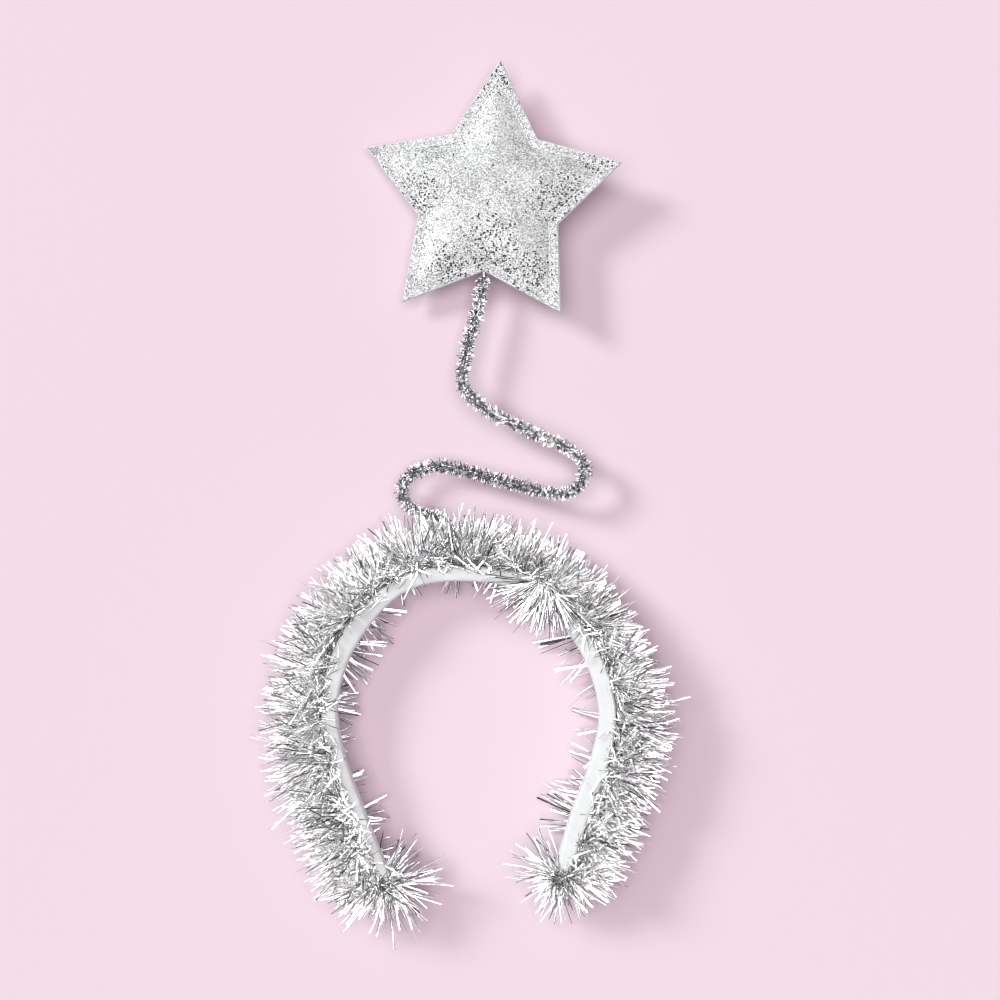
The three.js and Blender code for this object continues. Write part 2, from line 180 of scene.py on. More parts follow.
# Clumps that fall inwards over the top of the band: share of its length, strips, their length,
# and the lean of the fan's middle and edge along the band, in degrees.
OVER_CLUMPS = {
    "left tip": (0.045, 10, 0.01, 10, 60),
    "left jaw": (0.095, 9, 0.01, 0, 60),
    "left ear": (0.165, 7, 0.01, 0, 60),
    "left temple": (0.232, 14, 0.012, 0, 40),
    "left of crown": (0.452, 6, 0.011, 0, 60),
    "right of crown": (0.606, 250, 0.0245, 14, 64),
    "right brow": (0.675, 12, 0.011, 0, 50),
    "right jaw": (0.905, 6, 0.01, 0, 60),
}
OVER_SPREAD = 0.015  # half width of a clump at its root, as a share of the band's length
OVER_ROOT = 0.0045  # roots of those clumps above the thread
OVER_STRAY = 20  # degrees
OVER_CLIMB = (0.8, 1.05)  # how steeply they leave the thread
OVER_INWARD = (0.25, 0.65)  # share of the way in at the root, and what the fold adds
OVER_FALL = (0.05, 0.4)  # how far the tips stay above their roots
# Stretches where strips lie over the outer half of the band: shares of its length, and strips.
COVERED_STRETCHES = {
    "left arm": (0.01, 0.19, 230), "left temple": (0.19, 0.3, 60), "left of crown": (0.37, 0.49, 40),
    "right of crown": (0.51, 0.62, 40), "right arm": (0.63, 0.98, 60),
}
COVER_LENGTH = 0.0095
COVER_HEIGHT = 0.007  # roots of those strips above the middle of the band
COVER_ASIDE = 0.45  # and out from it at most, as a share of the band's thickness
COVER_LEAN = 50  # degrees along the band
COVER_RISE = 0.5  # steepest rise
UNDER_SPREAD = 0.011  # half width of a clump beneath the band, as a share of the band's length
UNDER_ROOTS = (0.007, 0.0115)  # heights of its roots and tips above the surface
UNDER_TIPS = (0.001, 0.009)
UNDER_FAN = math.radians(22)
UNDER_STRAY = math.radians(13)
# Clumps of strips that pass beneath the band: share of its length, strips, and how far they come out.
UNDER_CLUMPS = {
    "left tip": (0.05, 6, 0.009),
    "left jaw": (0.09, 9, 0.011),
    "below left ear": (0.135, 10, 0.006),
    "left ear": (0.19, 6, 0.005),
    "left temple": (0.235, 18, 0.01),
    "left brow": (0.305, 20, 0.014),
    "above left brow": (0.355, 18, 0.013),
    "left of crown": (0.43, 6, 0.007),
    "crown": (0.5, 10, 0.008),
    "right of crown": (0.55, 10, 0.01),
    "right brow": (0.69, 9, 0.016),
    "above right temple": (0.73, 7, 0.016),
    "right temple": (0.8, 5, 0.014),
    "right ear": (0.855, 8, 0.012),
    "below right ear": (0.89, 12, 0.012),
    "right jaw": (0.93, 20, 0.015),
}

# Stem
WIRE_PITCH = 0.005
FIBRE_STATIONS = 3
FIBRE_THICKNESS = 0.00005
STEM_FOOT = ((0.54, 0.0003), (0.513, 0.0003), (0.486, 0.0006))  # share of the band, space to the felt
STEM_ROUTE = {
    "away from the band": (-0.0086, -0.0254, 0.019),
    "up through the fringe": (-0.0096, -0.018, 0.0192),
    "out of the fringe": (-0.0115, -0.0086, 0.017),
    "along the fringe tips": (-0.0212, -0.0052, 0.0142),
    "first turn, start": (-0.0286, -0.0006, 0.0127),
    "first turn, middle": (-0.0306, 0.0054, 0.012),
    "first turn, end": (-0.0256, 0.0128, 0.0117),
    "lower run, start": (-0.0135, 0.0161, 0.0116),
    "lower run, middle": (0.012, 0.0101, 0.0126),
    "lower run, end": (0.0355, 0.0042, 0.0153),
    "second turn, start": (0.047, 0.0046, 0.0173),
    "second turn, middle": (0.0524, 0.0122, 0.0186),
    "second turn, end": (0.049, 0.0206, 0.0193),
    "upper run, middle": (0.026, 0.0323, 0.0189),
    "upper run, end": (0.006, 0.0427, 0.0179),
    "third turn, middle": (-0.0028, 0.0526, 0.0173),
    "up to the star": (-0.0018, 0.065, 0.0166),
    "below the star": (0.0032, 0.084, 0.0161),
}
PILE_SEED = 61
PILE_ROLL = math.radians(50)
PILE_LEAN = math.radians(42)
PILE_BUNCH = 0.75  # radians: how loosely the fibres follow the wires' twist
PILE_PAINTED_DARK = 0.6  # share of fibres painted black as dark reflections and shade
FIBRE_SPAN = (0.7, 1.2)  # narrowest and widest fibre, as shares of the width
PILE_FIRST_ROW = 1  # row of the route where the pile starts

# Star, in its own frame: the top tip points along +Y and the seam lies at z = 0
STAR_POINTS = 5
STAR_CENTRE = (0.0094, 0.1375, 0.016)
STAR_TILT = math.radians(-4.5)
STAR_ROLL = math.radians(-9)  # about its own axis: its right-hand side is raised
STAR_EDGE_CUTS = 13  # points added along each of the ten straight edges
STAR_MARGIN = 0.87  # stitch line, as a share of the cut outline
STAR_SHEET = 0.0012  # each cloth panel at the flat margin
WIRE_ENTRY = -0.0364  # along the star's axis: the pile ends there and the bare wire goes on
WIRE_END = -0.012
# Share of the padding's height at each share of the outline.
DOME_SCALES = (0.0, 0.16, 0.38, 0.6, 0.76, 0.87, 1.0)
DOME_RISES = (1.0, 1.0, 0.88, 0.6, 0.3, 0.0, 0.0)
STAR_RINGS = (1.0, 0.988, 0.94, 0.885, STAR_MARGIN, 0.855)  # cut edge to just inside the seam
STAR_INNER_RINGS = 16
STAR_MIDDLE = 0.06  # smallest ring, before the middle is closed
STAR_EDGE = 0.985  # further out than this is the raw cut edge
RING_SLACK = 0.005  # points count as on a ring within this share
SOFT_PASSES = 16  # of smoothing, which round off the ridges
STAR_SMOOTH_ANGLE = 40  # degrees
# Height of the flat margin, as shares of the cloth: thin at the cut edge, pulled in at the seam.
MARGIN_SCALES = (0.0, 0.855, 0.87, 0.885, 0.988, 1.0)
MARGIN_SHARES = (1.0, 1.0, 0.85, 1.0, 1.0, 0.4)
START_FILL = 0.6  # share of the padding's height before the star is filled
FILL_PRESSURE = 4.0
FILL_FRAMES = 20
# Painted dark reflections: where dark flakes gather on the star, place and radius.
DARK_REFLECTION_SPOTS = (
    (0.0095, 0.115, 0.018), (-0.0085, 0.108, 0.013), (0.0275, 0.1035, 0.014),
    (0.04, 0.1365, 0.015), (-0.022, 0.141, 0.012), (0.0125, 0.192, 0.012), (0.058, 0.153, 0.01),
)
SPOT_CORE = 0.4  # share of a spot's radius where they lie thickest
SPOT_CHANCE = 0.3  # share of dark flakes there
STRAY_CHANCE = 0.012  # share of dark flakes elsewhere
DARK_FLAKE_REACH = 0.58  # of a dark flake from its own middle, in flakes
FLAKE_TILT = 0.8  # how far the flakes lie out of the cloth, and their gloss
GLOSS_TILT = 0.3
PATCH_MIDDLE = 0.42  # painted reflection: paler and darker patches of flakes
PATCH_SPREAD = 0.45
STITCH_LENGTH = 0.0027
STITCH_STEP = 0.0028
STITCH_RADIUS = 0.00033
STITCH_LIFT = 0.0003  # middle of a stitch above the cloth

# Stage
IMAGE_WIDTH = 0.45  # metres across the picture at the framed height
FRAMED_HEIGHT = 0.02
CAMERA_AT = (0.01395, 0.00068)
KEY_WAY = (-0.679, 0.421, 0.602)
KEY_SOFTNESS = math.radians(16)
KEY_TINT = (0.86, 1.0, 0.935)
TOP_WAY = (-0.06, 0.04, 1.0)
TOP_SOFTNESS = math.radians(48)
TOP_TINT = (1.0, 0.945, 0.97)
SKY_TINT = (1.0, 0.985, 0.992)
# Levels of the sky by the cosine of the angle from the key light's way.
SKY_LEVELS = ((-0.4, 0.85), (0.75, 1.0))
PANEL_SCALE = 2.6  # dark and pale patches of the sky, which only mirrors show
PANEL_LEVELS = ((0.4, 0.05), (0.6, 1.0))
WINDOW_WAY = (-0.84, 0.22, 0.5)  # a bright window in that sky
WINDOW_LEVELS = ((0.97, 0.0), (0.985, 7.0))  # by the cosine of the angle from its way
BACKDROP = (0.8, 0.76, 0.78)  # what is seen past the floor
FLOOR_SIZE = 6.0
SENSOR_WIDTH = 36.0  # millimetres
DISPLAY_GAMMA = 1.15
LIGHT_DISTANCE = 1.5
FOIL_BOUNCES = 10  # light goes on from strip to strip in the fringe
PIXEL_FILTER = 1.1  # a sharp picture


# Settings


def length_setting(name, description, default):
    """A size in metres that a user may change."""
    return bpy.props.FloatProperty(
        name=name, description=description, default=default, min=0.0, unit="LENGTH", precision=4
    )


def colour_setting(name, description, default):
    """A colour that a user may change."""
    return bpy.props.FloatVectorProperty(
        name=name, description=description, default=default, size=3, min=0.0, max=1.0, subtype="COLOR"
    )


def count_setting(name, description, default):
    """How many of a thing a user wants."""
    return bpy.props.IntProperty(name=name, description=description, default=default, min=1)


def strength_setting(name, description, default):
    """How bright a light is."""
    return bpy.props.FloatProperty(name=name, description=description, default=default, min=0.0)


class BandSettings(bpy.types.PropertyGroup):
    """Felt band."""

    width: length_setting("Width", "Edge to edge of the felt, upright as the hoop lies", 0.013)
    corner: length_setting("Corner", "Radius of the felt's folded edges", 0.0016)
    felt: colour_setting("Felt", "Colour of the felt", (0.79, 0.8, 0.81))
    thread: colour_setting("Thread", "Colour of the hand stitches", (0.10, 0.10, 0.11))


class GarlandSettings(bpy.types.PropertyGroup):
    """Tinsel garland."""

    strips: count_setting("Strips", "Foil strips along the band", 7200)
    core_strips: count_setting("Core strips", "Short tangled strips close to the thread", 1000)
    tuft_strips: count_setting("Tuft strips", "Foil strips round each end", 210)
    # the tangle's strips are mostly painted black as shade
    tangle_strips: count_setting("Tangle strips", "Dark tangled strips on each end", 120)
    strip_width: length_setting("Strip width", "Width of a foil strip", 0.00074)
    bright: colour_setting("Bright foil", "Foil where it catches the light", (0.985, 0.985, 0.99))
    # painted dark reflection: the colour of foil strips that stand for dark surroundings mirrored
    dark: colour_setting("Dark foil", "Foil where it looks black", (0.03, 0.03, 0.035))


class StemSettings(bpy.types.PropertyGroup):
    """Tinsel wire stem."""

    wire: length_setting("Wire", "Radius of one of the two twisted wires", 0.0005)
    pile: length_setting("Pile", "Middle of the stem to the tips of the foil fibres", 0.0036)
    fibres: count_setting("Fibres", "Foil fibres in the pile", 9000)
    fibre_width: length_setting("Fibre width", "Width of a foil fibre", 0.00034)
    metal: colour_setting("Wire colour", "Colour of the twisted wire", (0.45, 0.45, 0.46))


class StarSettings(bpy.types.PropertyGroup):
    """Padded glitter star."""

    tip: length_setting("Tip", "Centre of the star to a tip of the cut edge", 0.062)
    notch: length_setting("Notch", "Centre of the star to a notch", 0.0337)
    front_rise: length_setting("Front rise", "Padding's height under the front panel", 0.0075)
    back_rise: length_setting("Back rise", "Padding's height under the back panel", 0.006)
    flake: length_setting("Flake", "Size of a glitter flake", 0.00052)
    dark_flake: length_setting("Dark flake", "Size of a dark flake", 0.00095)
    silver: colour_setting("Silver flakes", "Colour of most flakes", (0.34, 0.345, 0.35))
    # painted dark reflection: the colour of flakes that stand for dark surroundings mirrored
    black: colour_setting("Dark flakes", "Colour of the darkest flakes", (0.01, 0.01, 0.011))
    thread: colour_setting("Seam thread", "Colour of the seam's thread", (0.97, 0.97, 0.975))


class StageSettings(bpy.types.PropertyGroup):
    """Floor, light and camera."""

    floor: colour_setting("Floor", "Colour of the floor", (0.85, 0.645, 0.748))
    camera_distance: length_setting("Camera distance", "Camera above the framed height", 1.2)
    key: strength_setting("Key light", "Strength of the key light", 1.95)
    top: strength_setting("Top light", "Strength of the light from above", 2.25)
    sky: strength_setting("Sky", "Brightness of what the foil mirrors all round", 5.5)


# Routes


class Route:
    """A smooth path through given points, with its length and its table's columns along it."""

    FINENESS = 40  # steps in each span

    def __init__(self, points, columns=None):
        self.path = self.smooth(np.asarray(points, dtype=float))
        steps = np.linalg.norm(np.diff(self.path, axis=0), axis=1)
        self.lengths = np.concatenate([[0.0], np.cumsum(steps)])
        self.length = self.lengths[-1]
        self.slopes = np.gradient(self.path, self.lengths, axis=0)
        self.rows = np.linspace(0, len(points) - 1, len(self.path))
        self.columns = columns or {}

    def smooth(self, points):
        """A centripetal Catmull-Rom curve through the points."""
        ends = 2 * points[0] - points[1], 2 * points[-1] - points[-2]
        knots = np.vstack([ends[0], points, ends[1]])
        step = np.linspace(0, 1, self.FINENESS, endpoint=False)[:, None]
        spans = []
        for before, start, end, after in zip(knots, knots[1:], knots[2:], knots[3:]):
            d0 = math.sqrt(np.linalg.norm(start - before))
            d1 = math.sqrt(np.linalg.norm(end - start))
            d2 = math.sqrt(np.linalg.norm(after - end))
            leave = d1 * ((start - before) / d0 - (end - before) / (d0 + d1)) + end - start
            arrive = d1 * ((after - end) / d2 - (after - start) / (d1 + d2)) + end - start
            bow = 3 * (end - start) - 2 * leave - arrive
            turn = 2 * (start - end) + leave + arrive
            spans.append(start + leave * step + bow * step**2 + turn * step**3)
        return np.vstack([*spans, points[-1:]])

    def read(self, shares, values):
        """Values that go with the path, one column at a time, at shares of its length."""
        at = np.asarray(shares, dtype=float) * self.length
        return np.stack([np.interp(at, self.lengths, column) for column in values.T], axis=-1)

    def middle(self, shares):
        return self.read(shares, self.path)

    def heading(self, shares):
        return unit(self.read(shares, self.slopes))

    def out(self, shares):
        """The level way to the left of the path, which is outwards on the band."""
        ahead = self.heading(shares)
        return np.stack([-ahead[..., 1], ahead[..., 0], np.zeros_like(ahead[..., 0])], axis=-1)

    def column(self, shares, name):
        row = self.read(shares, self.rows[:, None])[..., 0]
        values = self.columns[name]
        return np.interp(row, np.arange(len(values)), values)

    def share_of_row(self, row):
        """Share of the length at which the path passes a row of its table."""
        return self.lengths[row * self.FINENESS] / self.length


def unit(vectors):
    return vectors / np.linalg.norm(vectors, axis=-1, keepdims=True)


def swing(ways, towards, angle):
    """Ways turned towards others, square to them, by angles in radians."""
    return ways * np.cos(angle)[..., None] + towards * np.sin(angle)[..., None]


def band_route():
    rows = np.array(list(BAND_ROUTE.values()))
    points = np.c_[rows[:, :2], np.full(len(rows), BAND_HEIGHT)]
    return Route(points, dict(zip(BAND_COLUMNS, rows.T)))


BAND = band_route()


def thread_at(shares):
    """The garland's thread, along the band's outer face."""
    shares = np.asarray(shares, dtype=float)
    out = BAND.column(shares, "thickness") / 2 + THREAD_STANDOFF
    return BAND.middle(shares) + BAND.out(shares) * out[..., None]


def star_place():
    """Where the star's own frame stands."""
    turned = Matrix.Rotation(STAR_TILT, 4, "Z") @ Matrix.Rotation(STAR_ROLL, 4, "Y")
    return Matrix.Translation(STAR_CENTRE) @ turned


def stem_route(wire_radius):
    feet = [
        BAND.middle(share) + BAND.out(share) * (BAND.column(share, "thickness") / 2 + space + wire_radius)
        for share, space in STEM_FOOT
    ]
    inside = [star_place() @ Vector((0, y, 0)) for y in (WIRE_ENTRY, (WIRE_ENTRY + WIRE_END) / 2, WIRE_END)]
    return Route([*feet, *STEM_ROUTE.values(), *inside])


# Modelling helpers


def start_piece(name, add, **sizes):
    """Adds a primitive with nothing else selected, its place in its mesh."""
    bpy.ops.object.select_all(action="DESELECT")
    add(**sizes)
    bpy.ops.object.transform_apply(location=True, rotation=True, scale=True)
    return rename(bpy.context.active_object, name)


def rename(piece, name):
    piece.name = name
    piece.data.name = name
    return piece


def make_active(piece):
    bpy.ops.object.select_all(action="DESELECT")
    piece.select_set(True)
    bpy.context.view_layer.objects.active = piece


def join(pieces, name):
    make_active(pieces[0])
    for piece in pieces:
        piece.select_set(True)
    bpy.ops.object.join()
    return rename(bpy.context.active_object, name)


def select_edges(piece, wanted):
    """In edit mode, selects the edges for which wanted(first corner, second corner) holds."""
    bpy.ops.mesh.select_mode(type="EDGE")
    bpy.ops.mesh.select_all(action="DESELECT")
    shape = bmesh.from_edit_mesh(piece.data)
    for edge in shape.edges:
        edge.select_set(bool(wanted(edge.verts[0].co, edge.verts[1].co)))
    bmesh.update_edit_mesh(piece.data)


def round_bar(name, radius, length, cuts, **place):
    """A round bar along +X, cut across so that it can be bent."""
    bar = start_piece(name, bpy.ops.mesh.primitive_cylinder_add, vertices=BAR_SIDES, radius=radius,
                      depth=length, rotation=(0, math.pi / 2, 0), **place)
    bpy.ops.object.mode_set(mode="EDIT")
    select_edges(bar, lambda a, b: abs(a.x - b.x) > length / 2)
    bpy.ops.mesh.subdivide(number_cuts=cuts)
    bpy.ops.object.mode_set(mode="OBJECT")
    return bar


def apply_modifier(piece, modifier):
    make_active(piece)
    bpy.ops.object.modifier_apply(modifier=modifier.name)


def bend_along(piece, route):
    """Bends a piece that was modelled along +X onto a route."""
    curve = bpy.data.curves.new("guide", "CURVE")
    curve.dimensions = "3D"
    curve.twist_mode = "Z_UP"
    spline = curve.splines.new("POLY")
    spline.points.add(len(route.path) - 1)
    spline.points.foreach_set("co", np.c_[route.path, np.ones(len(route.path))].ravel())
    guide = bpy.data.objects.new("guide", curve)
    bpy.context.collection.objects.link(guide)
    bend = piece.modifiers.new("along the route", "CURVE")
    bend.object = guide
    bend.deform_axis = "POS_X"
    apply_modifier(piece, bend)
    bpy.data.objects.remove(guide)
    bpy.data.curves.remove(curve)


def displace(piece, size, strength):
    """Soft lumps of the given size and height, applied to the mesh."""
    lumps = bpy.data.textures.new("lumps", "CLOUDS")
    lumps.noise_scale = size
    lumps.noise_depth = 1
    push = piece.modifiers.new("lumps", "DISPLACE")
    push.texture = lumps
    push.strength = strength
    push.mid_level = 0.5
    push.texture_coords = "LOCAL"
    apply_modifier(piece, push)
    bpy.data.textures.remove(lumps)


def subdivide_surface(piece, levels):
    smooth = piece.modifiers.new("smooth", "SUBSURF")
    smooth.levels = levels
    smooth.render_levels = levels
    apply_modifier(piece, smooth)


def place_vertices(piece, move):
    """Moves all of a mesh's points by a function on an array of them."""
    points = np.empty(len(piece.data.vertices) * 3)
    piece.data.vertices.foreach_get("co", points)
    moved = move(points.reshape(-1, 3))
    piece.data.vertices.foreach_set("co", np.ascontiguousarray(moved).ravel())
    piece.data.update()


def shade_smooth(piece, degrees):
    make_active(piece)
    bpy.ops.object.shade_smooth_by_angle(angle=math.radians(degrees))


def finish_piece(piece, slot, material, *nodes):
    """Gives a piece its finish and ties it to the frame."""
    piece.data.materials.clear()
    piece.data.materials.append(material)
    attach(piece, BODY)
    if nodes:
        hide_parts(*nodes)
    return piece


# Thin strips as joined meshes


def strip_template(stations):
    """Faces of one strip, and where each face's corners lie in its cell of the UV map."""
    faces = []
    cells = []
    for k in range(stations - 1):
        for j in range(4):
            after = (j + 1) % 4
            faces.append((4 * k + j, 4 * k + after, 4 * k + 4 + after, 4 * k + 4 + j))
            left, right = (CELL_EDGE + CELL_COLUMN * column for column in (j, j + CELL_FILL))
            low, high = (CELL_EDGE + CELL_HEIGHT * row / (stations - 1) for row in (k, k + 1))
            cells.append(((left, low), (right, low), (right, high), (left, high)))
    last = 4 * (stations - 1)
    faces += [(3, 2, 1, 0), (last, last + 1, last + 2, last + 3)]
    low, high = CAP_ROWS
    for left in CAP_STARTS:
        right = left + CAP_WIDTH
        cells.append(((left, low), (right, low), (right, high), (left, high)))
    return np.array(faces), np.array(cells)


def strip_mesh(name, lines, flats, widths, thickness, tones, edges):
    """Closed flat strips along lines of points (strips, stations, 3), as one object.

    Painted tones go along the strips, and edges hold a share of them as painted shade on one edge of each
    strip.
    """
    count, stations = lines.shape[:2]
    ahead = unit(np.gradient(lines, axis=1))
    across = unit(flats - ahead * np.sum(flats * ahead, axis=2, keepdims=True))
    up = np.cross(ahead, across) * (thickness / 2)
    side = across * (widths / 2)[:, None, None]
    corners = np.stack([lines + side + up, lines - side + up, lines - side - up, lines + side - up], axis=2)
    faces, cells = strip_template(stations)
    per_strip = 4 * stations
    all_faces = (np.arange(count)[:, None, None] * per_strip + faces).reshape(-1, 4)
    mesh = bpy.data.meshes.new(name)
    mesh.from_pydata(corners.reshape(-1, 3).tolist(), [], all_faces.tolist())
    grid = math.ceil(math.sqrt(count))
    cell_at = np.stack(np.divmod(np.arange(count), grid), axis=1)[:, None, None, :]
    chart = mesh.uv_layers.new(name="OFBake")
    chart.data.foreach_set("uv", ((cells + cell_at) / grid).ravel())
    tone = mesh.attributes.new("tone", "FLOAT", "POINT")
    painted_edge_shade = tones * edges[:, None]
    tone.data.foreach_set("value", np.stack([painted_edge_shade, tones, tones, painted_edge_shade], axis=2).ravel())
    piece = bpy.data.objects.new(name, mesh)
    bpy.context.collection.objects.link(piece)
    return piece


def strip_lines(roots, aims, lengths, stations, rng, stray, fold):
    """Points along strips that leave their roots along their aims, fold over and lie on the surface."""
    step = np.linspace(0, 1, stations)[None, :, None]
    reach = lengths[:, None, None]
    bend = rng.normal(0, stray, (len(roots), 1, 3)) + np.reshape(fold, (-1, 1, 3))
    lines = roots[:, None, :] + reach * (aims[:, None, :] * step + bend * step**2)
    rest = FLOOR_CLEAR + rng.uniform(0, FLOOR_SPREAD, (len(roots), 1))
    lines[..., 2] = np.maximum(lines[..., 2], rest)
    return lines


def painted_strip_tones(count, stations, rng, black, dark_reflection_tips):
    """Painted reflection and shade: how bright strips look along their length, most white, some grey, and
    shares black or dark-tipped.
    """
    kind = rng.choice(len(PAINTED_TONES), count, p=(1 - GREY_SHARE - black, GREY_SHARE, black))
    low, high = np.array(PAINTED_TONES)[kind].T
    tones = rng.uniform(low, high)[:, None] + rng.normal(0, TONE_SPREAD, (count, stations))
    tones[rng.random(count) < dark_reflection_tips, stations // 2:] *= DARK_REFLECTION_TIP
    return np.clip(tones, 0, 1)


def shaded_edge_tones(count, rng, shaded_edges):
    """Painted shade: tone of one edge of each strip, as a share of the strip's own."""
    return np.where(rng.random(count) < shaded_edges, SHADED_EDGE_TONE, 1.0)


def random_directions(count, rng):
    return unit(rng.normal(size=(count, 3)))


def strip_flats(lines, rng, roll, twist):
    """The way across each strip at each station: faces mostly up, rolled and twisted at random."""
    count, stations = lines.shape[:2]
    ahead = unit(lines[:, -1] - lines[:, 0])
    level = unit(np.cross(UP, ahead))
    raised = np.cross(ahead, level)
    turn = rng.normal(0, roll, (count, 1)) + rng.normal(0, twist, (count, 1)) * np.linspace(0, 1, stations)
    return swing(level[:, None], raised[:, None], turn)


# Materials


def node(tree, kind, inputs=None, **settings):
    """A node with its settings, its inputs set to values or linked to other nodes' outputs."""
    made = tree.nodes.new(kind)
    for key, value in settings.items():
        setattr(made, key, value)
    for key, value in (inputs or {}).items():
        if isinstance(value, bpy.types.NodeSocket):
            tree.links.new(value, made.inputs[key])
        else:
            made.inputs[key].default_value = value
    return made


def new_material(name):
    material = bpy.data.materials.new(name)
    material.use_nodes = True
    material.node_tree.nodes.clear()
    return material, material.node_tree


def surface(tree, inputs):
    shader = node(tree, "ShaderNodeBsdfPrincipled", inputs)
    node(tree, "ShaderNodeOutputMaterial", {"Surface": shader.outputs["BSDF"]})


def ramp(tree, factor, stops):
    """A colour ramp with stops of (place, colour)."""
    made = node(tree, "ShaderNodeValToRGB", {"Fac": factor})
    elements = made.color_ramp.elements
    while len(elements) < len(stops):
        elements.new(1.0)
    for element, (place, colour) in zip(elements, stops):
        element.position = place
        element.color = (*colour, 1.0)
    return made.outputs["Color"]


def grey_stops(*stops):
    """Stops of a ramp from (place, level of grey)."""
    return [(place, (level,) * 3) for place, level in stops]


def shade(colour, share):
    return tuple(share * channel for channel in colour)


def mix(first, second, share):
    return tuple(a + (b - a) * share for a, b in zip(first, second))


def noise(tree, place, scale, detail=2.0):
    made = node(tree, "ShaderNodeTexNoise", {"Vector": place, "Scale": scale, "Detail": detail})
    return made.outputs["Fac"]


def object_place(tree):
    return node(tree, "ShaderNodeTexCoord").outputs["Object"]


def math_node(tree, operation, first, second):
    made = node(tree, "ShaderNodeMath", {0: first, 1: second}, operation=operation)
    return made.outputs["Value"]


def vector_node(tree, operation, first, second):
    made = node(tree, "ShaderNodeVectorMath", {0: first, 1: second}, operation=operation)
    return made.outputs["Vector"]


def bump(tree, height, strength, distance):
    made = node(tree, "ShaderNodeBump", {"Height": height, "Strength": strength, "Distance": distance})
    return made.outputs["Normal"]


def felt_material(settings):
    """Pressed white felt: faint mottling and a fine tangle of fibres."""
    material, tree = new_material("white felt")
    place = object_place(tree)
    mottle = noise(tree, place, scale=140.0, detail=4.0)
    fibre = noise(tree, place, scale=1500.0, detail=3.0)
    tangle = noise(tree, place, scale=420.0, detail=3.0)
    colour = ramp(tree, mottle, ((0.3, shade(settings.felt, 0.93)), (0.7, settings.felt)))
    height = math_node(tree, "ADD", fibre, tangle)
    normal = bump(tree, height, strength=0.5, distance=0.0004)
    surface(tree, {"Base Color": colour, "Roughness": 0.95, "Sheen Weight": 0.3,
                   "Sheen Roughness": 0.6, "Normal": normal})
    return material


def thread_material(name, colour, metallic, roughness):
    """A thread, a wire or a cut edge: its colour with a fine darker grain."""
    material, tree = new_material(name)
    grain = noise(tree, object_place(tree), scale=2600.0)
    tint = ramp(tree, grain, ((0.35, shade(colour, 0.6)), (0.65, colour)))
    surface(tree, {"Base Color": tint, "Metallic": metallic, "Roughness": roughness})
    return material


def foil_material(name, bright, dark):
    """Silver foil whose brightness is painted strip by strip as reflection and shade, with faint creases."""
    material, tree = new_material(name)
    tone = node(tree, "ShaderNodeAttribute", attribute_name="tone").outputs["Fac"]
    crease = noise(tree, object_place(tree), scale=700.0)
    spread = math_node(tree, "MULTIPLY", math_node(tree, "SUBTRACT", crease, 0.5), CREASE_SPREAD)
    level = math_node(tree, "ADD", tone, spread)
    colour = ramp(tree, level, ((0.0, dark), (0.3, mix(dark, bright, 0.3)), (0.92, bright)))
    rough = ramp(tree, crease, grey_stops((0.3, 0.08), (0.7, 0.24)))
    surface(tree, {"Base Color": colour, "Metallic": 0.85, "Roughness": rough})
    return material


def painted_dark_spots(tree, place):
    """1 in the middle of the spots where painted dark reflections gather as dark flakes, falling to 0 round
    them.
    """
    total = 0.0
    seen_from_above = vector_node(tree, "MULTIPLY", place, (1, 1, 0))
    for x, y, radius in DARK_REFLECTION_SPOTS:
        away = node(tree, "ShaderNodeVectorMath", {0: seen_from_above, 1: (x, y, 0)}, operation="DISTANCE")
        span = {"Value": away.outputs["Value"], "From Min": radius, "From Max": radius * SPOT_CORE}
        near = node(tree, "ShaderNodeMapRange", span, interpolation_type="SMOOTHSTEP")
        total = math_node(tree, "MAXIMUM", near.outputs["Result"], total)
    return total


def painted_dark_flakes(tree, place, settings):
    """1 on the dark flakes, painted dark reflections, which are few but for the spots where they gather."""
    flakes = node(tree, "ShaderNodeTexVoronoi", {"Vector": place, "Scale": 1.0 / settings.dark_flake})
    channels = node(tree, "ShaderNodeSeparateColor", {"Color": flakes.outputs["Color"]})
    gathered = math_node(tree, "MULTIPLY", painted_dark_spots(tree, place), SPOT_CHANCE)
    chance = math_node(tree, "ADD", gathered, STRAY_CHANCE)
    picked = math_node(tree, "LESS_THAN", channels.outputs["Green"], chance)
    inside = math_node(tree, "LESS_THAN", flakes.outputs["Distance"], DARK_FLAKE_REACH)
    return math_node(tree, "MULTIPLY", picked, inside)


def tilted_flakes(tree, flake_colour, tilt):
    """The surface's normal, tilted flake by flake."""
    facing = node(tree, "ShaderNodeNewGeometry").outputs["Normal"]
    centred = vector_node(tree, "SUBTRACT", flake_colour, (0.5, 0.5, 0.5))
    push = node(tree, "ShaderNodeVectorMath", {0: centred, "Scale": tilt}, operation="SCALE")
    tilted = vector_node(tree, "ADD", facing, push.outputs["Vector"])
    return node(tree, "ShaderNodeVectorMath", {0: tilted}, operation="NORMALIZE").outputs["Vector"]


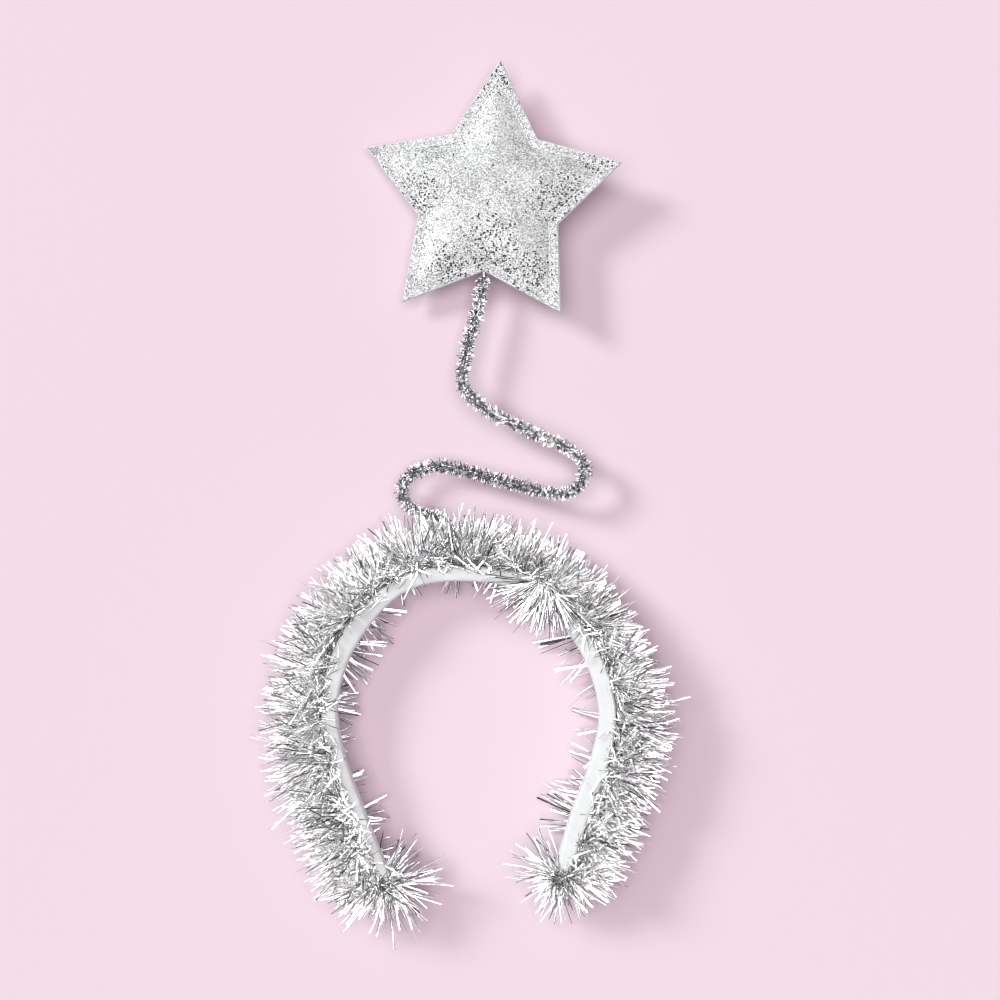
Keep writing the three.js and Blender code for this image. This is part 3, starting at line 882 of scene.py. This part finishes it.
def glitter_material(settings):
    """Cloth packed with glitter: each flake has its own tilt, and its own tone, which paints sparkle: pale
    flakes stand for glints and dark ones for dark reflections.
    """
    material, tree = new_material("silver glitter cloth")
    place = object_place(tree)
    flakes = node(tree, "ShaderNodeTexVoronoi", {"Vector": place, "Scale": 1.0 / settings.flake})
    channels = node(tree, "ShaderNodeSeparateColor", {"Color": flakes.outputs["Color"]})
    patch = noise(tree, place, scale=75.0)
    shift = math_node(tree, "MULTIPLY", math_node(tree, "SUBTRACT", patch, PATCH_MIDDLE), PATCH_SPREAD)
    level = math_node(tree, "ADD", channels.outputs["Red"], shift)
    silver, black = settings.silver, settings.black
    # painted sparkle: the flakes' tones run from dark reflections to near-white glints
    pale = ramp(tree, level, (
        (0.0, mix(black, silver, 0.2)), (0.2, mix(black, silver, 0.55)), (0.5, mix(black, silver, 0.95)),
        (1.0, mix(silver, (1.0, 1.0, 1.0), 0.65)),
    ))
    # painted dark reflections: the dark flakes take the black colour
    # A colour mix has its factor at socket 0, its colours at 6 and 7, and its result at output 2.
    parts = {0: painted_dark_flakes(tree, place, settings), 6: pale, 7: (*black, 1.0)}
    colour = node(tree, "ShaderNodeMix", parts, data_type="RGBA").outputs[2]
    normal = tilted_flakes(tree, flakes.outputs["Color"], FLAKE_TILT)
    ripple = bump(tree, noise(tree, place, scale=260.0, detail=3.0), strength=0.35, distance=0.0012)
    tree.links.new(tilted_flakes(tree, flakes.outputs["Color"], GLOSS_TILT), ripple.node.inputs["Normal"])
    surface(tree, {
        "Base Color": colour, "Metallic": 0.15, "Roughness": 0.35, "Normal": normal,
        "Specular IOR Level": 0.0, "Coat Weight": 0.19, "Coat IOR": 1.7, "Coat Roughness": 0.06,
        "Coat Normal": ripple,
    })
    return material


# Band


def build_band(settings):
    """The felt band: a long bevelled bar, bent along the hoop, with the felt's soft lumps."""
    thickness = BAND.columns["thickness"].mean()
    bar = start_piece("felt_band", bpy.ops.mesh.primitive_cube_add, size=1.0)
    bpy.ops.object.mode_set(mode="EDIT")
    bpy.ops.transform.resize(value=(BAND.length, thickness, settings.width))
    bpy.ops.transform.translate(value=(BAND.length / 2, 0, 0))
    bpy.ops.mesh.bevel(offset=settings.corner, segments=4, affect="EDGES")
    select_edges(bar, lambda a, b: abs(a.x - b.x) < SAME_PLACE and abs(a.z - b.z) > settings.width / 3)
    bpy.ops.mesh.subdivide(number_cuts=BAND_FACE_CUTS)
    select_edges(bar, lambda a, b: abs(a.x - b.x) > BAND.length / 2)
    bpy.ops.mesh.subdivide(number_cuts=BAND_STATIONS)
    bpy.ops.object.mode_set(mode="OBJECT")

    def widen(points):
        shares = np.clip(points[:, 0] / BAND.length, 0, 1)
        points[:, 1] *= BAND.column(shares, "thickness") / thickness
        return points

    place_vertices(bar, widen)
    bend_along(bar, BAND)
    displace(bar, *WIDE_LUMPS)
    subdivide_surface(bar, 1)
    displace(bar, *FINE_LUMPS)
    shade_smooth(bar, SMOOTH_ANGLE)
    return finish_piece(bar, "band_felt", felt_material(settings), "headband")


def stitch_prototype(length, radius):
    """One stitch along +X that dips at both ends: a short round bar, arched."""
    stitch = round_bar("stitch", radius, length, STITCH_CUTS)

    def arch(points):
        points[:, 2] -= radius * STITCH_DIP * (2 * points[:, 0] / length) ** 2
        return points

    place_vertices(stitch, arch)
    return stitch


def copy_onto(prototype, name, places):
    """Copies of a prototype, each with its own mesh, joined into one smooth piece."""
    copies = []
    for place in places:
        twin = prototype.copy()
        twin.data = prototype.data.copy()
        twin.data.transform(place)
        bpy.context.collection.objects.link(twin)
        copies.append(twin)
    bpy.data.objects.remove(prototype)
    piece = join(copies, name)
    shade_smooth(piece, SMOOTH_ANGLE)
    return piece


def frame_matrix(x_way, z_way, origin):
    """A placing whose X and Z axes follow the given ways."""
    x_axis = Vector(x_way).normalized()
    y_axis = Vector(z_way).cross(x_axis).normalized()
    z_axis = x_axis.cross(y_axis)
    turned = Matrix((x_axis, y_axis, z_axis)).transposed().to_4x4()
    return Matrix.Translation(Vector(origin)) @ turned


def build_band_stitches(settings):
    """Short hand stitches across the top of the band."""
    top = BAND_HEIGHT + settings.width / 2
    places = []
    for share, count in BAND_STITCHES.values():
        middle, out = BAND.middle(share), BAND.out(share)
        room = BAND.column(share, "thickness") * BAND_STITCH_ROOM
        for k in range(count):
            offset = room * ((k + 0.5) / count - 0.5)
            at = middle + out * offset
            sunk = BAND_STITCH_SINK + BAND_STITCH_ROUND * offset**2 / room
            places.append(frame_matrix(out, UP, (at[0], at[1], top - sunk)))
    piece = copy_onto(stitch_prototype(BAND_STITCH_LENGTH, BAND_STITCH_RADIUS), "band_stitches", places)
    dark = thread_material("dark stitch thread", settings.thread, metallic=0.0, roughness=0.8)
    return finish_piece(piece, "band_felt", dark)


# Garland


def twisted_pair(name, route, radius, pitch):
    """Two plies twisted round each other along a route."""
    cuts = int(route.length / pitch * PLY_CUTS)
    plies = []
    for sign in (1, -1):
        place = (route.length / 2, sign * radius * PLY_SPACING, 0)
        plies.append(round_bar(f"{name}_ply", radius, route.length, cuts, location=place))
    piece = join(plies, name)

    def twist(points):
        turn = points[:, 0] / pitch * 2 * math.pi
        y, z = points[:, 1].copy(), points[:, 2].copy()
        points[:, 1] = y * np.cos(turn) - z * np.sin(turn)
        points[:, 2] = y * np.sin(turn) + z * np.cos(turn)
        return points

    place_vertices(piece, twist)
    bend_along(piece, route)
    shade_smooth(piece, SMOOTH_ANGLE)
    return piece


def build_thread(settings):
    """The garland's two-ply thread."""
    route = Route(thread_at(np.linspace(0, 1, THREAD_POINTS)))
    piece = twisted_pair("garland_thread", route, THREAD_RADIUS, THREAD_PITCH)
    grey = mix(settings.dark, settings.bright, share=0.35)
    silver = thread_material("silver thread", grey, metallic=0.6, roughness=0.45)
    return finish_piece(piece, "tinsel_foil", silver)


def group_lines(group, roots, aims, lengths, rng, fold=SAG):
    return strip_lines(roots, aims, lengths, STRIP_STATIONS, rng, STRIP_BENDS[group], fold)


def uneven(group, count, rng):
    """Lengths of a group's strips, as shares of the group's length."""
    return rng.uniform(*LENGTH_SPANS[group], count)


def fringe_lines(first, last, count, side, rng):
    """Strips of the upper (1) or lower (-1) side of the fringe on a stretch: a fan from each clump."""
    steps = rng.uniform(first, last, count) * BAND.length / CLUMP_STEP
    middles = np.arange(int(steps.max()) + 2) + rng.uniform(-CLUMP_SHIFT, CLUMP_SHIFT, int(steps.max()) + 2)
    clump = np.abs(steps[:, None] - middles).argmin(axis=1)
    offsets = steps - middles[clump]
    shares = np.clip((steps - CLUMP_PULL * offsets) * CLUMP_STEP / BAND.length, first, last)
    reach = BAND.column(shares, "reach")
    angles = np.clip(FRINGE_MIDDLE + side * np.abs(rng.normal(0, FRINGE_OPENING, count)), *FRINGE_LIMITS)
    stretch = uneven("fringe", count, rng)
    stray = np.interp(stretch, LENGTH_SPANS["fringe"], (SHORT_STRAY, LONG_STRAY))
    lean = offsets * FAN_SPREAD + stray * rng.normal(0, 1, count)
    spoke = swing(BAND.out(shares), UP, np.radians(angles))
    aims = swing(spoke, BAND.heading(shares), lean)
    scales = rng.uniform(*CLUMP_SCALES, len(middles))[clump]
    lengths = reach * scales * stretch * np.interp(angles, FRINGE_ANGLES, FRINGE_TIPS)
    roots = thread_at(shares) + rng.normal(0, ROOT_SCATTER, (count, 3))
    return group_lines("fringe", roots, aims, lengths, rng)


def core_lines(first, last, count, rng):
    """Short tangled strips close to the thread."""
    shares = rng.uniform(first, last, count)
    roots = thread_at(shares) + random_directions(count, rng) * CORE_RADIUS
    turn = np.radians(rng.uniform(*CORE_TURNS, count))
    lean = np.radians(rng.uniform(-CORE_LEAN, CORE_LEAN, count))
    aims = swing(swing(BAND.out(shares), UP, turn), BAND.heading(shares), lean)
    lengths = CORE_LENGTH * uneven("core", count, rng)
    return group_lines("core", roots, aims, lengths, rng)


def cover_lines(first, last, count, rng):
    """Strips that start on top of the band and lie outwards over its outer half."""
    shares = rng.uniform(first, last, count)
    out = BAND.out(shares)
    aside = BAND.column(shares, "thickness") * rng.uniform(0.0, COVER_ASIDE, count)
    roots = BAND.middle(shares) + out * aside[:, None] + UP * COVER_HEIGHT
    lean = np.radians(rng.normal(0, COVER_LEAN, count))
    rise = rng.uniform(0.0, COVER_RISE, count)[:, None]
    aims = swing(out, BAND.heading(shares), lean) + UP * rise
    lengths = COVER_LENGTH * uneven("cover", count, rng)
    return group_lines("cover", roots, unit(aims), lengths, rng)


def under_lines(share, count, come_out, rng):
    """A clump of strips that pass beneath the band and come out on its inner side."""
    offsets = rng.uniform(-1, 1, count)
    shares = np.clip(share + UNDER_SPREAD * offsets, 0, 1)
    roots = thread_at(shares)
    roots[:, 2] = rng.uniform(*UNDER_ROOTS, count)
    shown = come_out * uneven("under", count, rng)
    inward = BAND.column(shares, "thickness") + THREAD_STANDOFF + shown
    lean = UNDER_FAN * offsets + rng.normal(0, UNDER_STRAY, count)
    drop = rng.uniform(*UNDER_TIPS, count) - roots[:, 2]
    aims = swing(-BAND.out(shares), BAND.heading(shares), lean) + UP * (drop / inward)[:, None]
    return group_lines("under", roots, unit(aims), inward, rng, fold=NO_SAG)


def compass(turn, rise):
    """Directions from their turn round the vertical and their rise above level, in radians."""
    return np.stack([np.cos(turn) * np.cos(rise), np.sin(turn) * np.cos(rise), np.sin(rise)], axis=1)


def over_lines(share, count, length, lean_middle, lean_edge, rng):
    """A clump of strips that falls inwards over the top of the band."""
    offsets = rng.uniform(-1, 1, count)
    shares = share + OVER_SPREAD * offsets
    roots = thread_at(shares) + UP * OVER_ROOT + rng.normal(0, ROOT_SCATTER, (count, 3))
    lean = np.radians(lean_middle + lean_edge * offsets + rng.normal(0, OVER_STRAY, count))
    level = swing(-BAND.out(shares), BAND.heading(shares), lean)
    lengths = length * uneven("over", count, rng)
    climb = rng.uniform(*OVER_CLIMB, count)[:, None]
    at_root, by_fold = OVER_INWARD
    aims = level * at_root + UP * climb
    fold = level * by_fold - UP * (climb - rng.uniform(*OVER_FALL, (count, 1)))
    return group_lines("over", roots, aims, lengths, rng, fold)


def tuft_lines(share, count, rng):
    """The tuft round one end of the band: a loose fan that leaves the band's top bare."""
    ahead = BAND.heading(share) * (1 if share else -1)
    facing = math.atan2(ahead[1], ahead[0])
    turn = facing + TUFT_FAN * rng.uniform(-1, 1, count)
    rise = np.radians(rng.normal(*TUFT_RISE, count))
    lengths = BAND.column(share, "reach") * uneven("tuft", count, rng)
    roots = BAND.middle(share) + random_directions(count, rng) * TANGLE_RADIUS
    return group_lines("tuft", roots, compass(turn, rise), lengths, rng)


def tangle_lines(share, count, rng):
    """A tangle of short strips on top of one end of the band, mostly painted black as shade."""
    roots = BAND.middle(share) + UP * TANGLE_LIFT + random_directions(count, rng) * TANGLE_RADIUS
    turn = rng.uniform(-math.pi, math.pi, count)
    rise = np.radians(rng.uniform(*TANGLE_RISE, count))
    lengths = TANGLE_LENGTH * uneven("tangle", count, rng)
    return group_lines("tangle", roots, compass(turn, rise), lengths, rng)


def garland_groups(first, last, settings, rng):
    """Groups of strips on one half of the band, each with the name of its look."""
    end = 0.0 if first == 0.0 else 1.0
    quarter = settings.strips // 4
    yield "upper fringe", fringe_lines(first, last, quarter, 1, rng)
    yield "lower fringe", fringe_lines(first, last, quarter, -1, rng)
    yield "core", core_lines(first, last, settings.core_strips // 2, rng)
    yield "tuft", tuft_lines(end, settings.tuft_strips, rng)
    yield "tangle", tangle_lines(end, settings.tangle_strips, rng)
    for start, stop, count in COVERED_STRETCHES.values():
        if first <= start < last:
            yield "cover", cover_lines(start, stop, count, rng)
    for clump in UNDER_CLUMPS.values():
        if first <= clump[0] < last:
            yield "under", under_lines(*clump, rng)
    for clump in OVER_CLUMPS.values():
        if first <= clump[0] < last:
            yield "over", over_lines(*clump, rng)


def build_garland(settings):
    """The garland's foil strips: a left and a right half with their end tufts."""
    foil = foil_material("silver tinsel foil", settings.bright, settings.dark)
    for number, (side, (first, last)) in enumerate(GARLAND_HALVES.items()):
        rng = np.random.default_rng(GARLAND_SEED + number)
        lines, tones, edges, widths = [], [], [], []
        for look, group in garland_groups(first, last, settings, rng):
            black, dark_reflection_tips, shaded_edges, width, far_painted_shade = STRIP_LOOKS[look]
            count = len(group)
            far = np.interp(np.linalg.norm(group - group[:, :1], axis=2), FAR_OUT, (1.0, far_painted_shade))
            lines.append(group)
            tones.append(painted_strip_tones(count, STRIP_STATIONS, rng, black, dark_reflection_tips) * far)
            edges.append(shaded_edge_tones(count, rng, shaded_edges))
            widths.append(settings.strip_width * width * rng.uniform(*WIDTH_SPAN, count))
        lines, tones, edges, widths = (np.concatenate(rows) for rows in (lines, tones, edges, widths))
        widths[tones.max(axis=1) < BLACK_TONE] *= BLACK_WIDTH
        flats = strip_flats(lines, rng, STRIP_ROLL, STRIP_TWIST)
        piece = strip_mesh(f"tinsel_{side}", lines, flats, widths, STRIP_THICKNESS, tones, edges)
        finish_piece(piece, "tinsel_foil", foil, "tinsel_garland")


# Stem


def build_stem(settings):
    """The stem: two twisted wires and the foil fibres that they grip."""
    route = stem_route(2 * settings.wire)
    wire = twisted_pair("stem_wire", route, settings.wire, WIRE_PITCH)
    metal = thread_material("stem wire", settings.metal, metallic=1.0, roughness=0.35)
    finish_piece(wire, "stem_foil", metal, "stem")
    rng = np.random.default_rng(PILE_SEED)
    count = settings.fibres
    first = route.share_of_row(len(STEM_FOOT) + PILE_FIRST_ROW)
    last = route.share_of_row(len(STEM_FOOT) + len(STEM_ROUTE))
    shares = rng.uniform(first, last, count)
    ahead = route.heading(shares)
    side = route.out(shares)
    up = np.cross(ahead, side)
    row = shares * route.length / WIRE_PITCH * 2 * math.pi + math.pi * rng.integers(0, 2, count)
    turn = row + rng.normal(0, PILE_BUNCH, count)
    lean = rng.normal(0, PILE_LEAN, count)
    spoke = swing(side, up, turn)
    aims = swing(spoke, ahead, lean)
    roots = route.middle(shares) + spoke * settings.wire
    lengths = (settings.pile - settings.wire) * uneven("pile", count, rng)
    lines = strip_lines(roots, aims, lengths, FIBRE_STATIONS, rng, STRIP_BENDS["pile"], NO_SAG)
    widths = settings.fibre_width * rng.uniform(*FIBRE_SPAN, count)
    tones = painted_strip_tones(count, FIBRE_STATIONS, rng, PILE_PAINTED_DARK, 0.0)
    flats = strip_flats(lines, rng, PILE_ROLL, 0.0)
    pile = strip_mesh("stem_pile", lines, flats, widths, FIBRE_THICKNESS, tones, np.ones(count))
    garland = bpy.context.scene.headband_garland
    foil = foil_material("stem pile foil", garland.bright, garland.dark)
    finish_piece(pile, "stem_foil", foil, "stem")


# Star


def star_sheet(settings):
    """A flat star of concentric rings, closed in the middle: the cloth before it is filled."""
    sheet = start_piece("padded_star", bpy.ops.mesh.primitive_circle_add, vertices=2 * STAR_POINTS,
                        radius=settings.tip)
    bpy.ops.object.mode_set(mode="EDIT")
    shape = bmesh.from_edit_mesh(sheet.data)
    corners = sorted(shape.verts, key=lambda v: math.atan2(v.co.y, v.co.x))
    top = max(range(len(corners)), key=lambda k: corners[k].co.y)
    for k, corner in enumerate(corners):
        if (k - top) % 2:
            corner.co *= settings.notch / settings.tip
    bmesh.update_edit_mesh(sheet.data)
    bpy.ops.mesh.select_all(action="SELECT")
    bpy.ops.mesh.subdivide(number_cuts=STAR_EDGE_CUTS)
    scales = [*STAR_RINGS, *np.linspace(STAR_RINGS[-1], STAR_MIDDLE, STAR_INNER_RINGS)[1:]]
    for outer, inner in zip(scales, scales[1:]):
        bpy.ops.mesh.extrude_edges_move()
        bpy.ops.transform.resize(value=(inner / outer, inner / outer, 1.0), center_override=(0, 0, 0))
    bpy.ops.mesh.merge(type="CENTER")
    bpy.ops.mesh.select_all(action="SELECT")
    bpy.ops.mesh.normals_make_consistent(inside=False)
    bpy.ops.mesh.extrude_region_move(TRANSFORM_OT_translate={"value": (0, 0, -2 * STAR_SHEET)})
    bpy.ops.mesh.select_all(action="SELECT")
    bpy.ops.transform.translate(value=(0, 0, STAR_SHEET))
    bpy.ops.mesh.normals_make_consistent(inside=False)
    bpy.ops.object.mode_set(mode="OBJECT")
    return sheet


def star_scale(points, settings):
    """How far out points lie, as a share of the cut outline in their direction."""
    turn = np.arctan2(points[:, 0], points[:, 1])
    step = math.pi / STAR_POINTS
    beside = np.abs((turn + step) % (2 * step) - step)
    tip = np.array((settings.tip, 0.0))
    notch = settings.notch * np.array((math.cos(step), math.sin(step)))
    edge = notch - tip
    normal = np.array((edge[1], -edge[0])) / np.linalg.norm(edge)
    away = np.hypot(points[:, 0], points[:, 1])
    out = away * (np.cos(beside) * normal[0] + np.sin(beside) * normal[1])
    return out / (tip @ normal)


def fill_star(sheet, settings, share):
    """Raises the two sides of the sheet to a share of the padding's height."""

    def rise(points):
        scale = star_scale(points, settings)
        front = points[:, 2] > 0
        height = share * np.interp(scale, DOME_SCALES, DOME_RISES)
        height *= np.where(front, settings.front_rise, settings.back_rise)
        height += STAR_SHEET * np.interp(scale, MARGIN_SCALES, MARGIN_SHARES)
        points[:, 2] = np.where(front, height, -height)
        return points

    place_vertices(sheet, rise)


def soften_star(star, settings):
    """Rounds off the ridges inside the stitch line."""
    make_active(star)
    bpy.ops.object.mode_set(mode="EDIT")
    bpy.ops.mesh.select_mode(type="VERT")
    bpy.ops.mesh.select_all(action="DESELECT")
    shape = bmesh.from_edit_mesh(star.data)
    points = np.array([corner.co for corner in shape.verts])
    inside = star_scale(points, settings) < STAR_RINGS[-1] + RING_SLACK
    for corner, soft in zip(shape.verts, inside):
        corner.select_set(bool(soft))
    bmesh.update_edit_mesh(star.data)
    bpy.ops.mesh.vertices_smooth(factor=0.5, repeat=SOFT_PASSES)
    bpy.ops.object.mode_set(mode="OBJECT")


def inflate_star(star, settings):
    """Fills the star: cloth under pressure, held at its sewn margin."""
    points = np.array([corner.co for corner in star.data.vertices])
    held = np.flatnonzero(star_scale(points, settings) > STAR_MARGIN - RING_SLACK)
    pins = star.vertex_groups.new(name="margin")
    pins.add(held.tolist(), 1.0, "REPLACE")
    filling = star.modifiers.new("filling", "CLOTH")
    cloth = filling.settings
    cloth.vertex_group_mass = pins.name
    cloth.mass = 0.1
    cloth.quality = 6
    cloth.use_pressure = True
    cloth.uniform_pressure_force = FILL_PRESSURE
    cloth.effector_weights.gravity = 0.0
    cloth.bending_stiffness = 0.2
    filling.collision_settings.use_collision = False
    scene = bpy.context.scene
    for frame_number in range(1, FILL_FRAMES + 1):
        scene.frame_set(frame_number)
    apply_modifier(star, filling)
    scene.frame_set(1)
    star.vertex_groups.clear()


def crease_edge(star, settings):
    """Keeps the raw cut edge and the star's points sharp."""
    make_active(star)
    bpy.ops.object.mode_set(mode="EDIT")
    select_edges(star, lambda a, b: star_scale(np.array((a, b)), settings).min() > STAR_EDGE)
    bpy.ops.transform.edge_crease(value=1.0)
    bpy.ops.object.mode_set(mode="OBJECT")


def build_star(settings):
    """The padded star: two glitter panels on wadding, with a flat sewn margin."""
    star = star_sheet(settings)
    fill_star(star, settings, START_FILL)
    soften_star(star, settings)
    inflate_star(star, settings)
    soften_star(star, settings)
    crease_edge(star, settings)
    subdivide_surface(star, 1)
    points = np.array([corner.co for corner in star.data.vertices])
    on_edge = star_scale(points, settings) > STAR_EDGE
    star.data.transform(star_place())
    shade_smooth(star, STAR_SMOOTH_ANGLE)
    glitter = glitter_material(settings)
    finish_piece(star, "glitter_cloth", glitter, "star_front", "star_back", "star_padding")
    raw = thread_material("raw cloth edge", settings.thread, metallic=0.0, roughness=0.8)
    star.data.materials.append(raw)
    for face in star.data.polygons:
        face.material_index = int(on_edge[list(face.vertices)].all())


def build_star_seam(settings):
    """The seam's stitches, on both sides of the star."""
    places = []
    step = math.pi / STAR_POINTS
    corners = [
        Vector((-math.sin(k * step), math.cos(k * step), 0)) * STAR_MARGIN
        * (settings.notch if k % 2 else settings.tip)
        for k in range(2 * STAR_POINTS)
    ]
    for start, end in zip(corners, corners[1:] + corners[:1]):
        run = end - start
        count = round(run.length / STITCH_STEP)
        for k in range(count):
            at = start + run * ((k + 0.5) / count)
            for sign in (1, -1):
                lift = Vector((0, 0, sign * (STAR_SHEET + STITCH_LIFT)))
                places.append(star_place() @ frame_matrix(run, (0, 0, sign), at + lift))
    piece = copy_onto(stitch_prototype(STITCH_LENGTH, STITCH_RADIUS), "star_seam", places)
    thread = thread_material("pale seam thread", settings.thread, metallic=0.0, roughness=0.6)
    return finish_piece(piece, "glitter_cloth", thread)


# Stage


def build_floor(settings):
    """A plain pale floor with soft, almost unseen unevenness."""
    floor = start_piece("floor", bpy.ops.mesh.primitive_plane_add, size=FLOOR_SIZE)
    material, tree = new_material("pale floor")
    patch = noise(tree, object_place(tree), scale=2.0, detail=1.0)
    colour = ramp(tree, patch, ((0.3, shade(settings.floor, 0.985)), (0.7, settings.floor)))
    surface(tree, {"Base Color": colour, "Roughness": 0.9, "Specular IOR Level": 0.1})
    floor.data.materials.append(material)


def add_light(name, way, softness, tint, strength):
    """A soft light that comes from far away."""
    light = bpy.data.lights.new(name, "SUN")
    light.angle = softness
    light.energy = strength
    light.color = tint
    lamp = bpy.data.objects.new(name, light)
    lamp.location = Vector(way) * LIGHT_DISTANCE
    lamp.rotation_euler = Vector(way).to_track_quat("Z", "Y").to_euler()
    bpy.context.collection.objects.link(lamp)


def level_towards(tree, way, middle, levels):
    """A level that changes with the angle from a middle way: two pairs of its cosine and the level."""
    (far, far_level), (near, near_level) = levels
    facing = node(tree, "ShaderNodeVectorMath", {0: way, 1: unit(np.array(middle))}, operation="DOT_PRODUCT")
    return node(tree, "ShaderNodeMapRange", {
        "Value": facing.outputs["Value"], "From Min": far, "From Max": near, "To Min": far_level,
        "To Max": near_level,
    }).outputs["Result"]


def build_light(settings):
    """A soft key light from the upper left, a top light, and a sky in patches that only mirrors show."""
    add_light("key", KEY_WAY, KEY_SOFTNESS, KEY_TINT, settings.key)
    add_light("top", TOP_WAY, TOP_SOFTNESS, TOP_TINT, settings.top)
    world = bpy.data.worlds.new("studio")
    world.use_nodes = True
    tree = world.node_tree
    tree.nodes.clear()
    way = node(tree, "ShaderNodeTexCoord").outputs["Generated"]
    panels = ramp(tree, noise(tree, way, PANEL_SCALE, detail=1.0), grey_stops(*PANEL_LEVELS))
    lit = math_node(tree, "MULTIPLY", panels, level_towards(tree, way, KEY_WAY, SKY_LEVELS))
    level = math_node(tree, "ADD", lit, level_towards(tree, way, WINDOW_WAY, WINDOW_LEVELS))
    colour = node(tree, "ShaderNodeVectorMath", {0: SKY_TINT, "Scale": level}, operation="SCALE")
    path = node(tree, "ShaderNodeLightPath").outputs
    mirrors_only = math_node(tree, "LESS_THAN", path["Diffuse Depth"], 0.5)  # no matt bounce yet
    strength = math_node(tree, "MULTIPLY", mirrors_only, settings.sky)
    mirrored = node(tree, "ShaderNodeBackground", {"Color": colour.outputs["Vector"], "Strength": strength})
    plain = node(tree, "ShaderNodeBackground", {"Color": (*BACKDROP, 1.0)})
    either = node(tree, "ShaderNodeMixShader", {
        0: path["Is Camera Ray"], 1: mirrored.outputs["Background"], 2: plain.outputs["Background"],
    })
    node(tree, "ShaderNodeOutputWorld", {"Surface": either.outputs["Shader"]})
    bpy.context.scene.world = world
    world.cycles_visibility.diffuse = False


def build_camera(settings):
    """A camera straight above, framed as the picture is."""
    lens = bpy.data.cameras.new("camera")
    lens.sensor_width = SENSOR_WIDTH
    lens.lens = lens.sensor_width * settings.camera_distance / IMAGE_WIDTH
    camera = bpy.data.objects.new("camera", lens)
    camera.location = (*CAMERA_AT, FRAMED_HEIGHT + settings.camera_distance)
    bpy.context.collection.objects.link(camera)
    bpy.context.scene.camera = camera


# Operators


class HEADBAND_OT_band(bpy.types.Operator):
    """Build the felt band and its hand stitches."""

    bl_idname = "headband.band"
    bl_label = "Felt Band"

    def execute(self, context):
        settings = context.scene.headband_band
        build_band(settings)
        build_band_stitches(settings)
        return {"FINISHED"}


class HEADBAND_OT_garland(bpy.types.Operator):
    """Build the garland's thread and its foil strips."""

    bl_idname = "headband.garland"
    bl_label = "Tinsel Garland"

    def execute(self, context):
        settings = context.scene.headband_garland
        build_thread(settings)
        build_garland(settings)
        return {"FINISHED"}


class HEADBAND_OT_stem(bpy.types.Operator):
    """Build the tinsel wire stem."""

    bl_idname = "headband.stem"
    bl_label = "Wire Stem"

    def execute(self, context):
        build_stem(context.scene.headband_stem)
        return {"FINISHED"}


class HEADBAND_OT_star(bpy.types.Operator):
    """Build the padded star and its seam."""

    bl_idname = "headband.star"
    bl_label = "Padded Star"

    def execute(self, context):
        settings = context.scene.headband_star
        build_star(settings)
        build_star_seam(settings)
        return {"FINISHED"}


class HEADBAND_OT_stage(bpy.types.Operator):
    """Build the floor, the light and the camera."""

    bl_idname = "headband.stage"
    bl_label = "Stage"

    def execute(self, context):
        settings = context.scene.headband_stage
        build_floor(settings)
        build_light(settings)
        build_camera(settings)
        context.scene.view_settings.view_transform = "Standard"
        context.scene.view_settings.gamma = DISPLAY_GAMMA
        context.scene.cycles.glossy_bounces = FOIL_BOUNCES
        context.scene.cycles.diffuse_bounces = FOIL_BOUNCES
        context.scene.cycles.filter_width = PIXEL_FILTER
        return {"FINISHED"}


class HEADBAND_PT_tools(bpy.types.Panel):
    """Settings and builders of the headband."""

    bl_idname = "HEADBAND_PT_tools"
    bl_label = "Star Headband"
    bl_space_type = "VIEW_3D"
    bl_region_type = "UI"
    bl_category = "Headband"

    def draw(self, context):
        for name, group, operator in SECTIONS:
            box = self.layout.box()
            settings = getattr(context.scene, name)
            for key in group.__annotations__:
                box.prop(settings, key)
            box.operator(operator.bl_idname)


SECTIONS = (
    ("headband_stage", StageSettings, HEADBAND_OT_stage),
    ("headband_band", BandSettings, HEADBAND_OT_band),
    ("headband_garland", GarlandSettings, HEADBAND_OT_garland),
    ("headband_stem", StemSettings, HEADBAND_OT_stem),
    ("headband_star", StarSettings, HEADBAND_OT_star),
)


def register():
    for name, group, operator in SECTIONS:
        bpy.utils.register_class(group)
        bpy.utils.register_class(operator)
        setattr(bpy.types.Scene, name, bpy.props.PointerProperty(type=group))
    bpy.utils.register_class(HEADBAND_PT_tools)


def unregister():
    bpy.utils.unregister_class(HEADBAND_PT_tools)
    for name, group, operator in reversed(SECTIONS):
        delattr(bpy.types.Scene, name)
        bpy.utils.unregister_class(operator)
        bpy.utils.unregister_class(group)


def main():
    register()
    bpy.ops.headband.stage()
    bpy.ops.headband.band()
    bpy.ops.headband.garland()
    bpy.ops.headband.stem()
    bpy.ops.headband.star()


if __name__ == "__main__":
    main()
